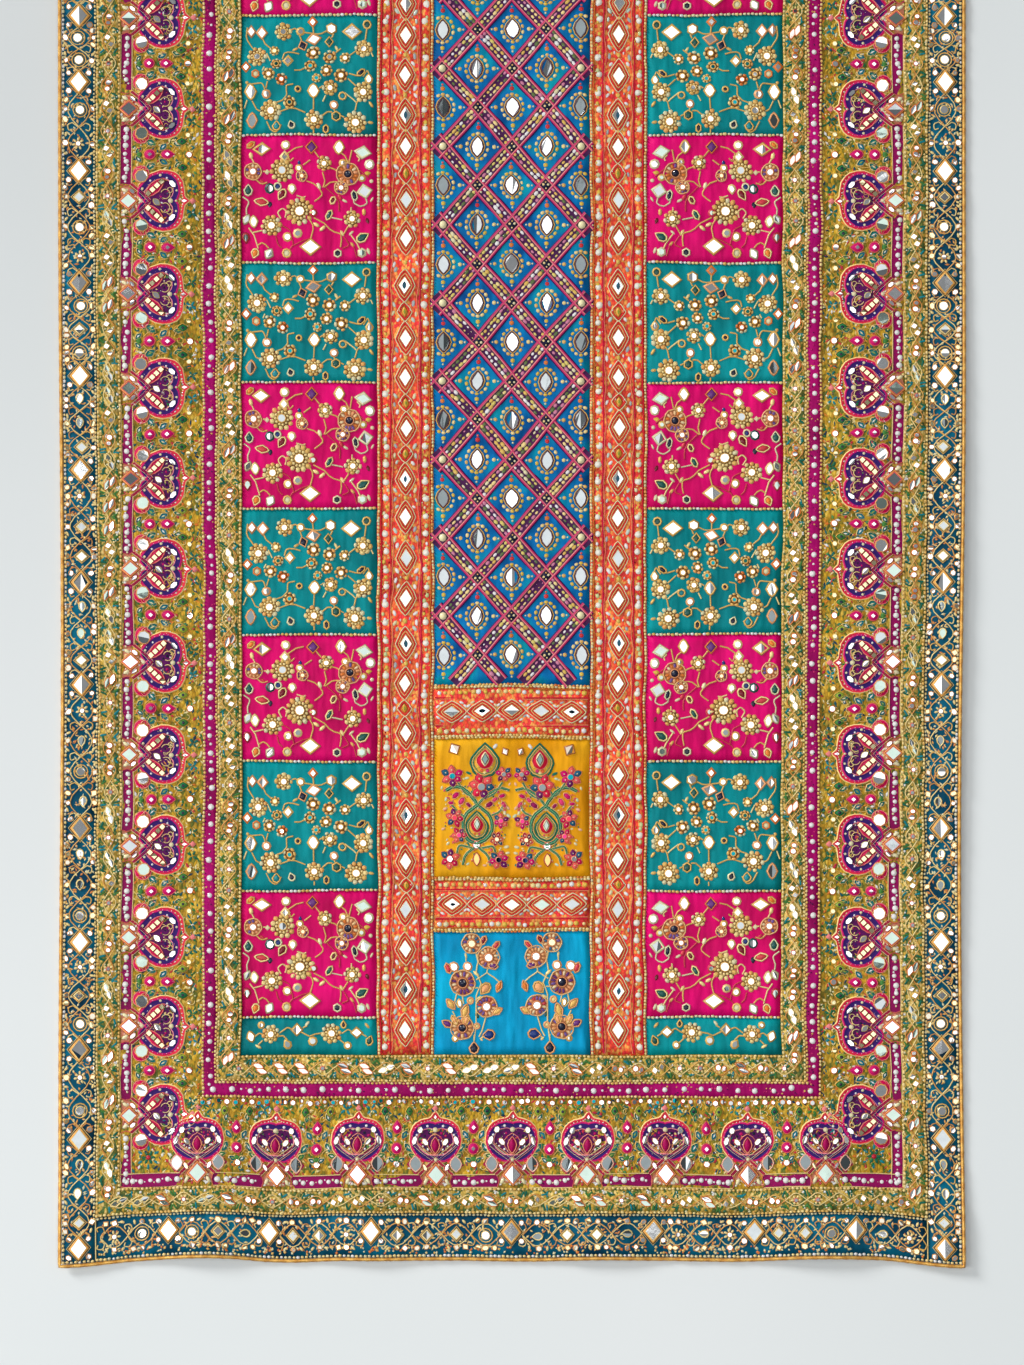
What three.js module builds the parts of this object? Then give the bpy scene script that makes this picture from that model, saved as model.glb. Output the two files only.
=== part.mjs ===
// A mirror-work dupatta: a long patchwork shawl laid out flat, face up.
// Units are millimetres. X runs across the cloth, Y along it and Z up, with the origin under its middle.
// Every piece is cut flat, at a distance "across" from the centre line and "along" from the near hem,
// and is then laid down by one shared function, so neighbours follow the same low ripples.

import * as THREE from "three";

// Driving dimensions: how far each piece reaches, out from the centre line.
const CENTRE_PANEL = 78;
const LONG_BAND = 135;
const PATCHES = 271;
const INNER_TRIM = 295;
const RIBBON = 310;
const WIDE_BORDER = 392;
const OUTER_TRIM = 416;
const TEAL_BORDER = 450;
const CLOTH_EDGE = 454;

// The same pieces at each end, in from the hem.
const END_PIPING = 4;
const END_TEAL = 47.5;
const END_OUTER_TRIM = 73.5;
const END_WIDE_BORDER = 163;
const END_RIBBON = 179.5;
const END_INNER_TRIM = 206;

// Lengths of the patches in a side column, from the inner trim up to and including the middle one.
const PATCH_LENGTHS = [37.5, 127, 129, 127, 126, 126, 120, 128, 119.5];
// Lengths of the pieces of the centre column, from the inner trim up to the lattice panel.
const CENTRE_PIECES = [
  { name: "azure_panel", length: 124, slot: "azure" },
  { name: "outer_cross_band", length: 53, slot: "orange" },
  { name: "marigold_panel", length: 140, slot: "marigold" },
  { name: "inner_cross_band", length: 53, slot: "orange" },
];

const CLOTH_THICKNESS = 2;
const TRIM_THICKNESS = 1.2;
const PIPING_THICKNESS = 2.2;
const PIPING_CROWN = 1;
const SEAM_GAP = 0.3;
const LAYER_GAP = 0.3;
const LONGEST_STEP = 70;

// Low ripples, each a rounded ridge that the cloth makes where it doesn't touch the table.
// lean is how far the ridge drifts across for each millimetre along.
const RIPPLES = [
  { across: -308, along: 0, halfWidth: 70, halfLength: 330, height: 7, lean: 0.06 },
  { across: -140, along: 0, halfWidth: 60, halfLength: 240, height: 4, lean: -0.05 },
  { across: 92, along: 0, halfWidth: 65, halfLength: 300, height: 5, lean: 0.04 },
  { across: 312, along: 0, halfWidth: 80, halfLength: 360, height: 7, lean: -0.05 },
  { across: -350, along: 900, halfWidth: 70, halfLength: 420, height: 4, lean: 0.03 },
  { across: 350, along: 760, halfWidth: 80, halfLength: 500, height: 4.5, lean: -0.02 },
  { across: -20, along: 620, halfWidth: 60, halfLength: 300, height: 2.5, lean: 0.08 },
  { across: 60, along: 1250, halfWidth: 60, halfLength: 520, height: 3, lean: -0.04 },
  { across: -200, along: 1500, halfWidth: 70, halfLength: 380, height: 4, lean: 0.05 },
  { across: 240, along: 1750, halfWidth: 70, halfLength: 380, height: 4, lean: 0.02 },
  { across: -312, along: 2387, halfWidth: 80, halfLength: 340, height: 6, lean: -0.04 },
  { across: -92, along: 2387, halfWidth: 60, halfLength: 280, height: 4.5, lean: 0.05 },
  { across: 150, along: 2387, halfWidth: 70, halfLength: 260, height: 5, lean: -0.03 },
  { across: 330, along: 2387, halfWidth: 70, halfLength: 330, height: 6.5, lean: 0.05 },
  { across: 454, along: 640, halfWidth: 45, halfLength: 520, height: 5, lean: 0 },
  { across: -454, along: 1400, halfWidth: 45, halfLength: 600, height: 4, lean: 0 },
  { across: -454, along: 0, halfWidth: 90, halfLength: 110, height: 4, lean: 0 },
  { across: 454, along: 0, halfWidth: 90, halfLength: 120, height: 5, lean: 0 },
];

// Where each hem lies further out than the straight cut, or less far.
const HEM_WAVES = [
  { across: -454, halfWidth: 100, out: 7 },
  { across: -308, halfWidth: 70, out: -3.5 },
  { across: -222, halfWidth: 60, out: 2 },
  { across: 10, halfWidth: 70, out: 1 },
  { across: 92, halfWidth: 60, out: -1 },
  { across: 222, halfWidth: 90, out: 1.2 },
  { across: 312, halfWidth: 90, out: -2.4 },
  { across: 454, halfWidth: 95, out: 7 },
];
const HEM_WAVE_REACH = 260;

// Where a long edge is drawn in towards the centre line.
const EDGE_PULLS = [
  { side: -1, along: 600, halfLength: 460, pull: 2.5 },
  { side: 1, along: 420, halfLength: 500, pull: 5 },
  { side: -1, along: 1800, halfLength: 500, pull: 3 },
  { side: 1, along: 1750, halfLength: 450, pull: 3 },
];

const COLOURS = {
  lattice: { color: 0x1173a8, roughness: 0.6 },
  azure: { color: 0x0e8fc0, roughness: 0.45 },
  marigold: { color: 0xe9a21c, roughness: 0.5 },
  orange: { color: 0xdc4a2c, roughness: 0.6 },
  teal: { color: 0x0f8f94, roughness: 0.45 },
  pink: { color: 0xd0106a, roughness: 0.45 },
  ground: { color: 0xb08f35, roughness: 0.7 },
  olive: { color: 0x9c8a3c, roughness: 0.6 },
  magenta: { color: 0x8e0f5c, roughness: 0.5 },
  border: { color: 0x16687c, roughness: 0.6 },
  gold: { color: 0xc08a3a, roughness: 0.4 },
};

const total = (lengths) => lengths.reduce((sum, length) => sum + length, 0);
const LENGTH = 2 * (END_INNER_TRIM + total(PATCH_LENGTHS)) - PATCH_LENGTHS.at(-1);
const MIDDLE = LENGTH / 2;

// A smooth hump: 1 at t = 0, and 0 from |t| = 1 on.
const hump = (t) => (Math.abs(t) < 1 ? Math.cos((Math.PI * t) / 2) ** 2 : 0);

function rippleHeight(across, along) {
  let height = 0;
  for (const r of RIPPLES) {
    const ridge = r.across + r.lean * (along - r.along);
    height += r.height * hump((across - ridge) / r.halfWidth) * hump((along - r.along) / r.halfLength);
  }
  return height;
}

function hemOffset(across) {
  return HEM_WAVES.reduce((sum, w) => sum + w.out * hump((across - w.across) / w.halfWidth), 0);
}

function edgePull(across, along) {
  let pull = 0;
  for (const p of EDGE_PULLS) {
    const share = Math.max(0, (p.side * across) / CLOTH_EDGE);
    pull -= p.side * p.pull * share ** 2 * hump((along - p.along) / p.halfLength);
  }
  return pull;
}

// The laid place of the cloth's underside at a point of the flat cut.
function lay(across, along) {
  const nearShare = hump(Math.min(1, along / HEM_WAVE_REACH));
  const farShare = hump(Math.min(1, (LENGTH - along) / HEM_WAVE_REACH));
  return new THREE.Vector3(
    across + edgePull(across, along),
    along - MIDDLE - hemOffset(across) * nearShare + hemOffset(-across) * farShare,
    rippleHeight(across, along),
  );
}

// Lines that run along the cloth: every seam, and one or two inside the wider pieces.
const HALF_LINES = [
  CENTRE_PANEL / 2, CENTRE_PANEL, 106, LONG_BAND, 180, 226, PATCHES, INNER_TRIM,
  RIBBON, 351, WIDE_BORDER, OUTER_TRIM, TEAL_BORDER, (TEAL_BORDER + CLOTH_EDGE) / 2, CLOTH_EDGE,
];
const ACROSS_LINES = [...HALF_LINES.map((across) => -across).reverse(), 0, ...HALF_LINES];

// Lines that run across it: every seam up to the middle, split where they lie too far apart.
const END_LINES = [
  0, END_PIPING / 2, END_PIPING, 26, END_TEAL, END_OUTER_TRIM, 118, END_WIDE_BORDER, END_RIBBON,
];
const ends = (pieces) => pieces.map((_, k) => END_INNER_TRIM + total(pieces.slice(0, k + 1)));
const seams = [
  END_INNER_TRIM,
  ...ends(PATCH_LENGTHS),
  ...ends(CENTRE_PIECES.map((piece) => piece.length)),
].sort((a, b) => a - b);
const NEAR_LINES = [...END_LINES, ...split(seams.filter((along) => along < MIDDLE), MIDDLE)];
const ALONG_LINES = [...NEAR_LINES, MIDDLE, ...NEAR_LINES.map((along) => LENGTH - along).reverse()];

// A rising list of seams with even steps put in wherever two are further apart than the longest step.
function split(lines, last) {
  return lines.flatMap((from, k) => {
    const to = lines[k + 1] ?? last;
    const count = Math.ceil((to - from) / LONGEST_STEP);
    return Array.from({ length: count }, (_, i) => from + ((to - from) * i) / count);
  });
}

const between = (lines, low, high) => lines.filter((x) => x >= low - 1e-6 && x <= high + 1e-6);

// The cut of a piece as triangles of flat points: each half cell of the shared lines that is inside it.
// Cells are halved in the direction of the nearest corner's mitre, so pieces can end along it.
function cut(side, near, far, inside = () => true) {
  const acrossLines = between(ACROSS_LINES, ...side);
  const alongLines = between(ALONG_LINES, near, far);
  const points = alongLines.flatMap((along) => acrossLines.map((across) => ({ across, along })));
  const at = (i, j) => j * acrossLines.length + i;
  const triangles = [];
  for (let j = 0; j + 1 < alongLines.length; j++)
    for (let i = 0; i + 1 < acrossLines.length; i++) {
      const onRight = acrossLines[i] + acrossLines[i + 1] > 0;
      const onFar = alongLines[j] + alongLines[j + 1] > LENGTH;
      const [a, b, c, d] = [at(i, j), at(i + 1, j), at(i + 1, j + 1), at(i, j + 1)];
      const halves = onRight === onFar ? [[a, b, c], [a, c, d]] : [[a, b, d], [b, c, d]];
      for (const half of halves) {
        const across = half.reduce((sum, k) => sum + points[k].across, 0) / 3;
        const along = half.reduce((sum, k) => sum + points[k].along, 0) / 3;
        if (inside(across, along)) triangles.push(half);
      }
    }
  return { points, triangles };
}

// The directed edges of a cut that only one triangle uses.
function boundary(triangles) {
  const edges = new Map();
  for (const [a, b, c] of triangles)
    for (const [from, to] of [[a, b], [b, c], [c, a]])
      if (!edges.delete(`${to},${from}`)) edges.set(`${from},${to}`, [from, to]);
  return [...edges.values()];
}

// Moves the boundary inwards by half a seam gap, keeping each corner's angle.
function trimmed(points, edges) {
  const normals = new Map();
  for (const [from, to] of edges) {
    const [p, q] = [points[from], points[to]];
    const length = Math.hypot(q.across - p.across, q.along - p.along);
    const normal = [-(q.along - p.along) / length, (q.across - p.across) / length];
    for (const k of [from, to]) normals.set(k, [...(normals.get(k) ?? []), normal]);
  }
  return points.map((p, k) => {
    if (!normals.has(k)) return p;
    const [n, m] = normals.get(k);
    const reach = SEAM_GAP / 2 / (1 + n[0] * m[0] + n[1] * m[1]);
    return { across: p.across + reach * (n[0] + m[0]), along: p.along + reach * (n[1] + m[1]) };
  });
}

// A cut piece as a closed wall: its underside, its face and the edge all round.
function wall(piece, { thickness, raised = 0, crown = () => 0 }) {
  const edges = boundary(piece.triangles);
  const flat = trimmed(piece.points, edges);
  const used = [...new Set(piece.triangles.flat())];
  const slot = new Map(used.map((k, n) => [k, n]));
  const under = used.map((k) => lay(flat[k].across, flat[k].along).setZ(
    rippleHeight(flat[k].across, flat[k].along) + raised));
  const face = used.map((k, n) => under[n].clone().setZ(
    under[n].z + thickness + crown(piece.points[k].across, piece.points[k].along)));
  const count = used.length;
  const index = [];
  for (const [a, b, c] of piece.triangles.map((t) => t.map((k) => slot.get(k)))) {
    index.push(a + count, b + count, c + count);
    index.push(c, b, a);
  }
  for (const [a, b] of edges.map((e) => e.map((k) => slot.get(k)))) {
    index.push(a, b, b + count);
    index.push(a, b + count, a + count);
  }
  const geometry = new THREE.BufferGeometry();
  geometry.setFromPoints([...under, ...face]);
  geometry.setIndex(index);
  geometry.computeVertexNormals();
  return geometry;
}

const dupatta = new THREE.Group();

function add(name, slot, piece, form = { thickness: CLOTH_THICKNESS }) {
  const material = new THREE.MeshStandardMaterial({ ...COLOURS[slot], metalness: 0, side: THREE.DoubleSide });
  const mesh = new THREE.Mesh(wall(piece, form), material);
  mesh.name = name;
  dupatta.add(mesh);
}

// Two-digit numbers keep the patches in order.
const numbered = (n) => String(n).padStart(2, "0");

function addPatchColumns() {
  const lengths = [...PATCH_LENGTHS, ...PATCH_LENGTHS.slice(0, -1).reverse()];
  let near = END_INNER_TRIM;
  lengths.forEach((length, row) => {
    const slot = row % 2 ? "pink" : "teal";
    add(`patch_left_${numbered(row + 1)}`, slot, cut([-PATCHES, -LONG_BAND], near, near + length));
    add(`patch_right_${numbered(row + 1)}`, slot, cut([LONG_BAND, PATCHES], near, near + length));
    near += length;
  });
}

function addCentreColumn() {
  const width = [-CENTRE_PANEL, CENTRE_PANEL];
  let near = END_INNER_TRIM;
  for (const { name, length, slot } of CENTRE_PIECES) {
    const far = near + length;
    add(`${name}_near`, slot, cut(width, near, far));
    add(`${name}_far`, slot, cut(width, LENGTH - far, LENGTH - near));
    near = far;
  }
  add("lattice_panel", "lattice", cut(width, near, LENGTH - near));
  const field = [END_INNER_TRIM, LENGTH - END_INNER_TRIM];
  add("long_band_left", "orange", cut([-LONG_BAND, -CENTRE_PANEL], ...field));
  add("long_band_right", "orange", cut([CENTRE_PANEL, LONG_BAND], ...field));
}

// How far in from the edge a flat point lies, measured on the side strips and on the end strips.
// The two are equal all along the mitre.
function depths(across, along) {
  return [
    (OUTER_TRIM - Math.abs(across)) / (OUTER_TRIM - PATCHES),
    (Math.min(along, LENGTH - along) - END_TEAL) / (END_INNER_TRIM - END_TEAL),
  ];
}

// Four mitred strips of the wide border's cloth, which run on under the trims and the ribbon.
function addBorderGround() {
  const long = (side) => (across, along) => {
    const [fromSide, fromEnd] = depths(across, along);
    return across * side > 0 && fromSide < Math.min(1, fromEnd);
  };
  const short = (side) => (across, along) => {
    const [fromSide, fromEnd] = depths(across, along);
    return (along - MIDDLE) * side > 0 && fromEnd < Math.min(1, fromSide);
  };
  const strips = { left: long(-1), right: long(1), near: short(-1), far: short(1) };
  for (const [place, inside] of Object.entries(strips)) {
    const piece = cut([-OUTER_TRIM, OUTER_TRIM], END_TEAL, LENGTH - END_TEAL, inside);
    add(`border_ground_${place}`, "ground", piece);
  }
}

// A ring that runs round the garment between an outer and an inner rectangle.
function ring([outerSide, outerEnd], [innerSide, innerEnd]) {
  return cut([-outerSide, outerSide], outerEnd, LENGTH - outerEnd, (across, along) =>
    Math.abs(across) > innerSide || Math.min(along, LENGTH - along) < innerEnd);
}

// Two woven trims and a ribbon, each one length run round the border and folded at its corners.
function addTrims() {
  const form = { thickness: TRIM_THICKNESS, raised: CLOTH_THICKNESS + LAYER_GAP };
  add("outer_trim", "olive", ring([OUTER_TRIM, END_TEAL], [WIDE_BORDER, END_OUTER_TRIM]), form);
  add("magenta_ribbon", "magenta", ring([RIBBON, END_WIDE_BORDER], [INNER_TRIM, END_RIBBON]), form);
  add("inner_trim", "olive", ring([INNER_TRIM, END_RIBBON], [PATCHES, END_INNER_TRIM]), form);
}

// The teal border's side strips run the whole length, and its end strips butt against them.
function addTealBorder() {
  const width = [-OUTER_TRIM, OUTER_TRIM];
  add("teal_border_left", "border", cut([-TEAL_BORDER, -OUTER_TRIM], END_PIPING, LENGTH - END_PIPING));
  add("teal_border_right", "border", cut([OUTER_TRIM, TEAL_BORDER], END_PIPING, LENGTH - END_PIPING));
  add("teal_border_near", "border", cut(width, END_PIPING, END_TEAL));
  add("teal_border_far", "border", cut(width, LENGTH - END_TEAL, LENGTH - END_PIPING));
}

// The gold cord that binds the raw edge, higher along its middle.
function addPiping() {
  const crown = (across, along) => {
    const fromSide = CLOTH_EDGE - Math.abs(across);
    const fromEnd = Math.min(along, LENGTH - along);
    return Math.abs(Math.min(fromSide, fromEnd) - END_PIPING / 2) < 0.5 ? PIPING_CROWN : 0;
  };
  const piece = ring([CLOTH_EDGE, 0], [TEAL_BORDER, END_PIPING]);
  add("edge_piping", "gold", piece, { thickness: PIPING_THICKNESS, raised: LAYER_GAP, crown });
}

addCentreColumn();
addPatchColumns();
addBorderGround();
addTrims();
addTealBorder();
addPiping();

export default dupatta;
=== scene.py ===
# Looks of the mirror-work dupatta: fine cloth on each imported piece, and its mirrors, beads and thread.
# Patterns are laid out flat in millimetres, as across the cloth and along it from the near hem,
# and one function then lays every point down on the cloth.

import math

import bpy
import numpy as np
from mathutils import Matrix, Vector

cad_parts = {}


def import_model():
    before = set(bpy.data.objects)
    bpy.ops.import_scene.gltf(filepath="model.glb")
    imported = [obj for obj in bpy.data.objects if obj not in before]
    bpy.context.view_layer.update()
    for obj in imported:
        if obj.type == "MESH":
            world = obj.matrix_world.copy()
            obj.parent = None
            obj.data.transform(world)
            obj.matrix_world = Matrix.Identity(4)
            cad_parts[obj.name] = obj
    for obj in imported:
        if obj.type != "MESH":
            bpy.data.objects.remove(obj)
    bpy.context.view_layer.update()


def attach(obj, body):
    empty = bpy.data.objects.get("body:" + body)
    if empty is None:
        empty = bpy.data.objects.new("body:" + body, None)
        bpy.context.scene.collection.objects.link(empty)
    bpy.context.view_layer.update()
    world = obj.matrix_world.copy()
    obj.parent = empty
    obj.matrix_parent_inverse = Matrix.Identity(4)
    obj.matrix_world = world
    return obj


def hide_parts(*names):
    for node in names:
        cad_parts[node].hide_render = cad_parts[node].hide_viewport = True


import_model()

rng = np.random.default_rng(7)

# The cut, as distances out from the centre line and in from the near hem, in millimetres.
CENTRE, BAND, PATCH, INNER, RIBBON, WIDE, OUTER, TEAL, EDGE = 78, 135, 271, 295, 310, 392, 416, 450, 454
E_PIPE, E_TEAL, E_OUTER, E_WIDE, E_RIBBON, E_INNER = 4, 47.5, 73.5, 163, 179.5, 206
PATCH_LENGTHS = [37.5, 127, 129, 127, 126, 126, 120, 128, 119.5]
ROW_LENGTHS = PATCH_LENGTHS + PATCH_LENGTHS[-2::-1]
AZURE, CROSS, MARIGOLD = 124, 53, 140
CENTRE_PIECES = [
    ("azure_panel", AZURE), ("outer_cross_band", CROSS),
    ("marigold_panel", MARIGOLD), ("inner_cross_band", CROSS),
]
LENGTH = 2 * (E_INNER + sum(PATCH_LENGTHS)) - PATCH_LENGTHS[-1]
MIDDLE = LENGTH / 2
# Walls of the cloth and of the trims, the gap between layers, and half of a seam's gap.
CLOTH, TRIM, LAYER_GAP, SEAM = 2.0, 1.2, 0.3, 0.15

# Ripples: across, along, half width, half length, height and lean.
RIPPLES = [
    (-308, 0, 70, 330, 7, 0.06),
    (-140, 0, 60, 240, 4, -0.05),
    (92, 0, 65, 300, 5, 0.04),
    (312, 0, 80, 360, 7, -0.05),
    (-350, 900, 70, 420, 4, 0.03),
    (350, 760, 80, 500, 4.5, -0.02),
    (-20, 620, 60, 300, 2.5, 0.08),
    (60, 1250, 60, 520, 3, -0.04),
    (-200, 1500, 70, 380, 4, 0.05),
    (240, 1750, 70, 380, 4, 0.02),
    (-312, 2387, 80, 340, 6, -0.04),
    (-92, 2387, 60, 280, 4.5, 0.05),
    (150, 2387, 70, 260, 5, -0.03),
    (330, 2387, 70, 330, 6.5, 0.05),
    (454, 640, 45, 520, 5, 0),
    (-454, 1400, 45, 600, 4, 0),
    (-454, 0, 90, 110, 4, 0),
    (454, 0, 90, 120, 5, 0),
]
# Hem waves: across, half width, out.
HEM_WAVES = [
    (-454, 100, 7), (-308, 70, -3.5), (-222, 60, 2), (10, 70, 1),
    (92, 60, -1), (222, 90, 1.2), (312, 90, -2.4), (454, 95, 7),
]
HEM_WAVE_REACH = 260
# Edges drawn in: side, along, half length, pull.
EDGE_PULLS = [(-1, 600, 460, 2.5), (1, 420, 500, 5), (-1, 1800, 500, 3), (1, 1750, 450, 3)]


def hump(t):
    return np.where(np.abs(t) < 1, np.cos(np.pi * np.clip(t, -1, 1) / 2) ** 2, 0.0)


def waves(count, shortest, longest, seed):
    """Plane waves of mixed direction for soft unevenness: each has its two frequencies and its phase."""
    r = np.random.default_rng(seed)
    length = np.exp(r.uniform(np.log(shortest), np.log(longest), count))
    heading = r.uniform(0, np.pi, count)
    freq = 2 * np.pi / length
    return freq * np.cos(heading), freq * np.sin(heading), r.uniform(0, 6.28, count)


def ruffled(a, v, spread):
    fa, fv, phase = spread
    return sum(np.sin(x * a + y * v + p) for x, y, p in zip(fa, fv, phase)) / math.sqrt(len(fa))


# Unevenness of the cloth in its plane, and puckers of its face, each with its size in millimetres.
WOBBLE_ACROSS, WOBBLE_ALONG, WOBBLE = waves(6, 70, 190, 3), waves(6, 70, 190, 4), 0.7
PUCKERS, PUCKER = waves(12, 17, 48, 5), 0.35
# The distance in from an edge over which the unevenness grows to its whole.
CALM_EDGE = 40


def place(a, v, h):
    """Points of the laid cloth in metres, from flat points and heights over the cloth's underside."""
    a, v, h = (np.asarray(x, float) for x in (a, v, h))
    height = np.zeros_like(a)
    for across, along, half, long, tall, lean in RIPPLES:
        ridge = across + lean * (v - along)
        height += tall * hump((a - ridge) / half) * hump((v - along) / long)
    pull = np.zeros_like(a)
    for side, along, long, amount in EDGE_PULLS:
        pull -= side * amount * np.clip(side * a / EDGE, 0, None) ** 2 * hump((v - along) / long)

    def hem(x):
        return sum(out * hump((x - across) / half) for across, half, out in HEM_WAVES)

    near = hump(np.clip(v / HEM_WAVE_REACH, 0, 1))
    far = hump(np.clip((LENGTH - v) / HEM_WAVE_REACH, 0, 1))
    loose = np.clip(h, 0, 1)
    from_side, from_end = EDGE - np.abs(a), np.minimum(v, LENGTH - v)
    inward = np.clip(from_side / CALM_EDGE, 0, 1) * np.clip(from_end / CALM_EDGE, 0, 1)
    x = a + pull + WOBBLE * inward * ruffled(a, v, WOBBLE_ACROSS)
    y = v - MIDDLE - hem(a) * near + hem(-a) * far + WOBBLE * inward * ruffled(a, v, WOBBLE_ALONG)
    z = height + h + PUCKER * loose * ruffled(a, v, PUCKERS)
    return np.stack([x, y, np.maximum(z, 0)], -1) / 1000


def rgb(*levels):
    """A screen colour with levels of 0 to 255, as the shaders take it."""
    shares = [level / 255 for level in levels]
    return tuple(c / 12.92 if c <= 0.04045 else ((c + 0.055) / 1.055) ** 2.4 for c in shares)


def grey(level):
    return (level, level, level)


# Materials.
def material(name):
    m = bpy.data.materials.new(name)
    m.use_nodes = True
    return m, m.node_tree.nodes, m.node_tree.links


def shader(nodes):
    return next(n for n in nodes if n.type == "BSDF_PRINCIPLED")


def object_coords(nodes, links, scale=(1, 1, 1), turn=0.0):
    coords = nodes.new("ShaderNodeTexCoord")
    mapping = nodes.new("ShaderNodeMapping")
    mapping.inputs["Scale"].default_value = scale
    mapping.inputs["Rotation"].default_value = (0, 0, turn)
    links.new(coords.outputs["Object"], mapping.inputs["Vector"])
    return mapping.outputs["Vector"]


def noise(nodes, links, vector, scale):
    n = nodes.new("ShaderNodeTexNoise")
    n.inputs["Scale"].default_value = scale
    n.inputs["Detail"].default_value = 2.0
    links.new(vector, n.inputs["Vector"])
    return n.outputs["Fac"]


def ramp(nodes, links, value, stops):
    r = nodes.new("ShaderNodeValToRGB")
    while len(r.color_ramp.elements) < len(stops):
        r.color_ramp.elements.new(0.5)
    for element, (at, colour) in zip(r.color_ramp.elements, stops):
        element.position = at
        element.color = (*colour, 1)
    links.new(value, r.inputs["Fac"])
    return r.outputs["Color"]


def multiplied(nodes, links, factor, a, b):
    """One colour times another, by this share."""
    m = nodes.new("ShaderNodeMix")
    m.data_type = "RGBA"
    m.blend_type = "MULTIPLY"
    m.clamp_factor = True
    m.inputs[0].default_value = factor
    links.new(a, m.inputs[6])
    links.new(b, m.inputs[7])
    return m.outputs[2]


def bump(nodes, links, bsdf, height, distance, strength, under=None):
    b = nodes.new("ShaderNodeBump")
    b.inputs["Distance"].default_value = distance
    b.inputs["Strength"].default_value = strength
    links.new(height, b.inputs["Height"])
    if under is not None:
        links.new(under, b.inputs["Normal"])
    links.new(b.outputs["Normal"], bsdf.inputs["Normal"])
    return b.outputs["Normal"]


def weave(nodes, links, period):
    """The threads of a plain weave: crossed waves of the given period in metres."""
    made = []
    for turn in (0.0, math.pi / 2):
        w = nodes.new("ShaderNodeTexWave")
        w.inputs["Scale"].default_value = 2 * math.pi / (20 * period)
        links.new(object_coords(nodes, links, turn=turn), w.inputs["Vector"])
        made.append(w.outputs["Fac"])
    m = nodes.new("ShaderNodeMath")
    m.operation = "MULTIPLY"
    links.new(made[0], m.inputs[0])
    links.new(made[1], m.inputs[1])
    return m.outputs[0]


def satin(name, dark, main, light, rough=0.5, broad_scale=9):
    """Silk or cotton: broad changes of tone, fine stretched stripes that are partly the silk's own tone and
    partly painted shade of folds, soft folds and the weave.
    """
    m, nodes, links = material(name)
    bsdf = shader(nodes)
    vector = object_coords(nodes, links)
    stretched = object_coords(nodes, links, scale=(1, 0.3, 1))
    shades = [(0.3, dark), (0.5, main), (0.7, light)]
    broad = ramp(nodes, links, noise(nodes, links, vector, broad_scale), shades)
    # Fine stretched stripes: partly the silk's uneven tone, partly painted shade of soft folds.
    streaks_and_fold_shade = ramp(nodes, links, noise(nodes, links, stretched, 90), [(0.3, grey(0.74)), (0.7, grey(1.1))])
    links.new(multiplied(nodes, links, 0.8, broad, streaks_and_fold_shade), bsdf.inputs["Base Color"])
    bsdf.inputs["Roughness"].default_value = rough
    bsdf.inputs["Specular IOR Level"].default_value = 0.1
    folds = bump(nodes, links, bsdf, noise(nodes, links, stretched, 60), distance=0.006, strength=0.8)
    threads = weave(nodes, links, period=0.0009)
    bump(nodes, links, bsdf, threads, distance=0.00015, strength=0.5, under=folds)
    return m


def stitched(name, colours, cell, depth=0.0006):
    """Cloth covered in short satin stitches: stretched cells, each in one of the thread colours, with painted
    shade that darkens each cell towards its edges.
    """
    m, nodes, links = material(name)
    bsdf = shader(nodes)
    vector = object_coords(nodes, links, scale=cell, turn=0.5)
    cells = nodes.new("ShaderNodeTexVoronoi")
    cells.inputs["Scale"].default_value = 1.0
    links.new(vector, cells.inputs["Vector"])
    split = nodes.new("ShaderNodeSeparateColor")
    links.new(cells.outputs["Color"], split.inputs["Color"])
    step = 1 / len(colours)
    palette = ramp(nodes, links, split.outputs[0], [(i * step, c) for i, c in enumerate(colours)])
    palette.node.color_ramp.interpolation = "CONSTANT"
    broad = noise(nodes, links, object_coords(nodes, links), 30)
    patchy = ramp(nodes, links, broad, [(0.35, grey(0.6)), (0.65, grey(1.25))])
    # Painted shade: each stitch cell is lighter in its middle and darker towards its edges.
    painted_stitch_shade = ramp(nodes, links, cells.outputs["Distance"], [(0.2, grey(1.1)), (0.85, grey(0.6))])
    colour = multiplied(nodes, links, 0.7, multiplied(nodes, links, 1.0, palette, painted_stitch_shade), patchy)
    links.new(colour, bsdf.inputs["Base Color"])
    bsdf.inputs["Roughness"].default_value = 0.6
    bsdf.inputs["Specular IOR Level"].default_value = 0.15
    inverted = nodes.new("ShaderNodeMath")
    inverted.operation = "SUBTRACT"
    inverted.inputs[0].default_value = 1.0
    links.new(cells.outputs["Distance"], inverted.inputs[1])
    bump(nodes, links, bsdf, inverted.outputs[0], depth, strength=0.9)
    return m


def tinted(name, rough, metallic=0.0, grain=900.0, depth=0.0002, coat=0.0, specular=0.5, spread=0.25):
    """A finish whose colour is each shape's own tint, with a fine grain over it."""
    m, nodes, links = material(name)
    bsdf = shader(nodes)
    tint = nodes.new("ShaderNodeAttribute")
    tint.attribute_name = "tint"
    fine = noise(nodes, links, object_coords(nodes, links), grain)
    uneven = ramp(nodes, links, fine, [(0.3, grey(1 - spread)), (0.7, grey(1 + spread * 0.6))])
    colour = multiplied(nodes, links, 1.0, tint.outputs["Color"], uneven)
    links.new(colour, bsdf.inputs["Base Color"])
    bsdf.inputs["Roughness"].default_value = rough
    bsdf.inputs["Metallic"].default_value = metallic
    bsdf.inputs["Coat Weight"].default_value = coat
    bsdf.inputs["Specular IOR Level"].default_value = specular
    bump(nodes, links, bsdf, fine, depth, strength=0.7)
    return m


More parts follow.
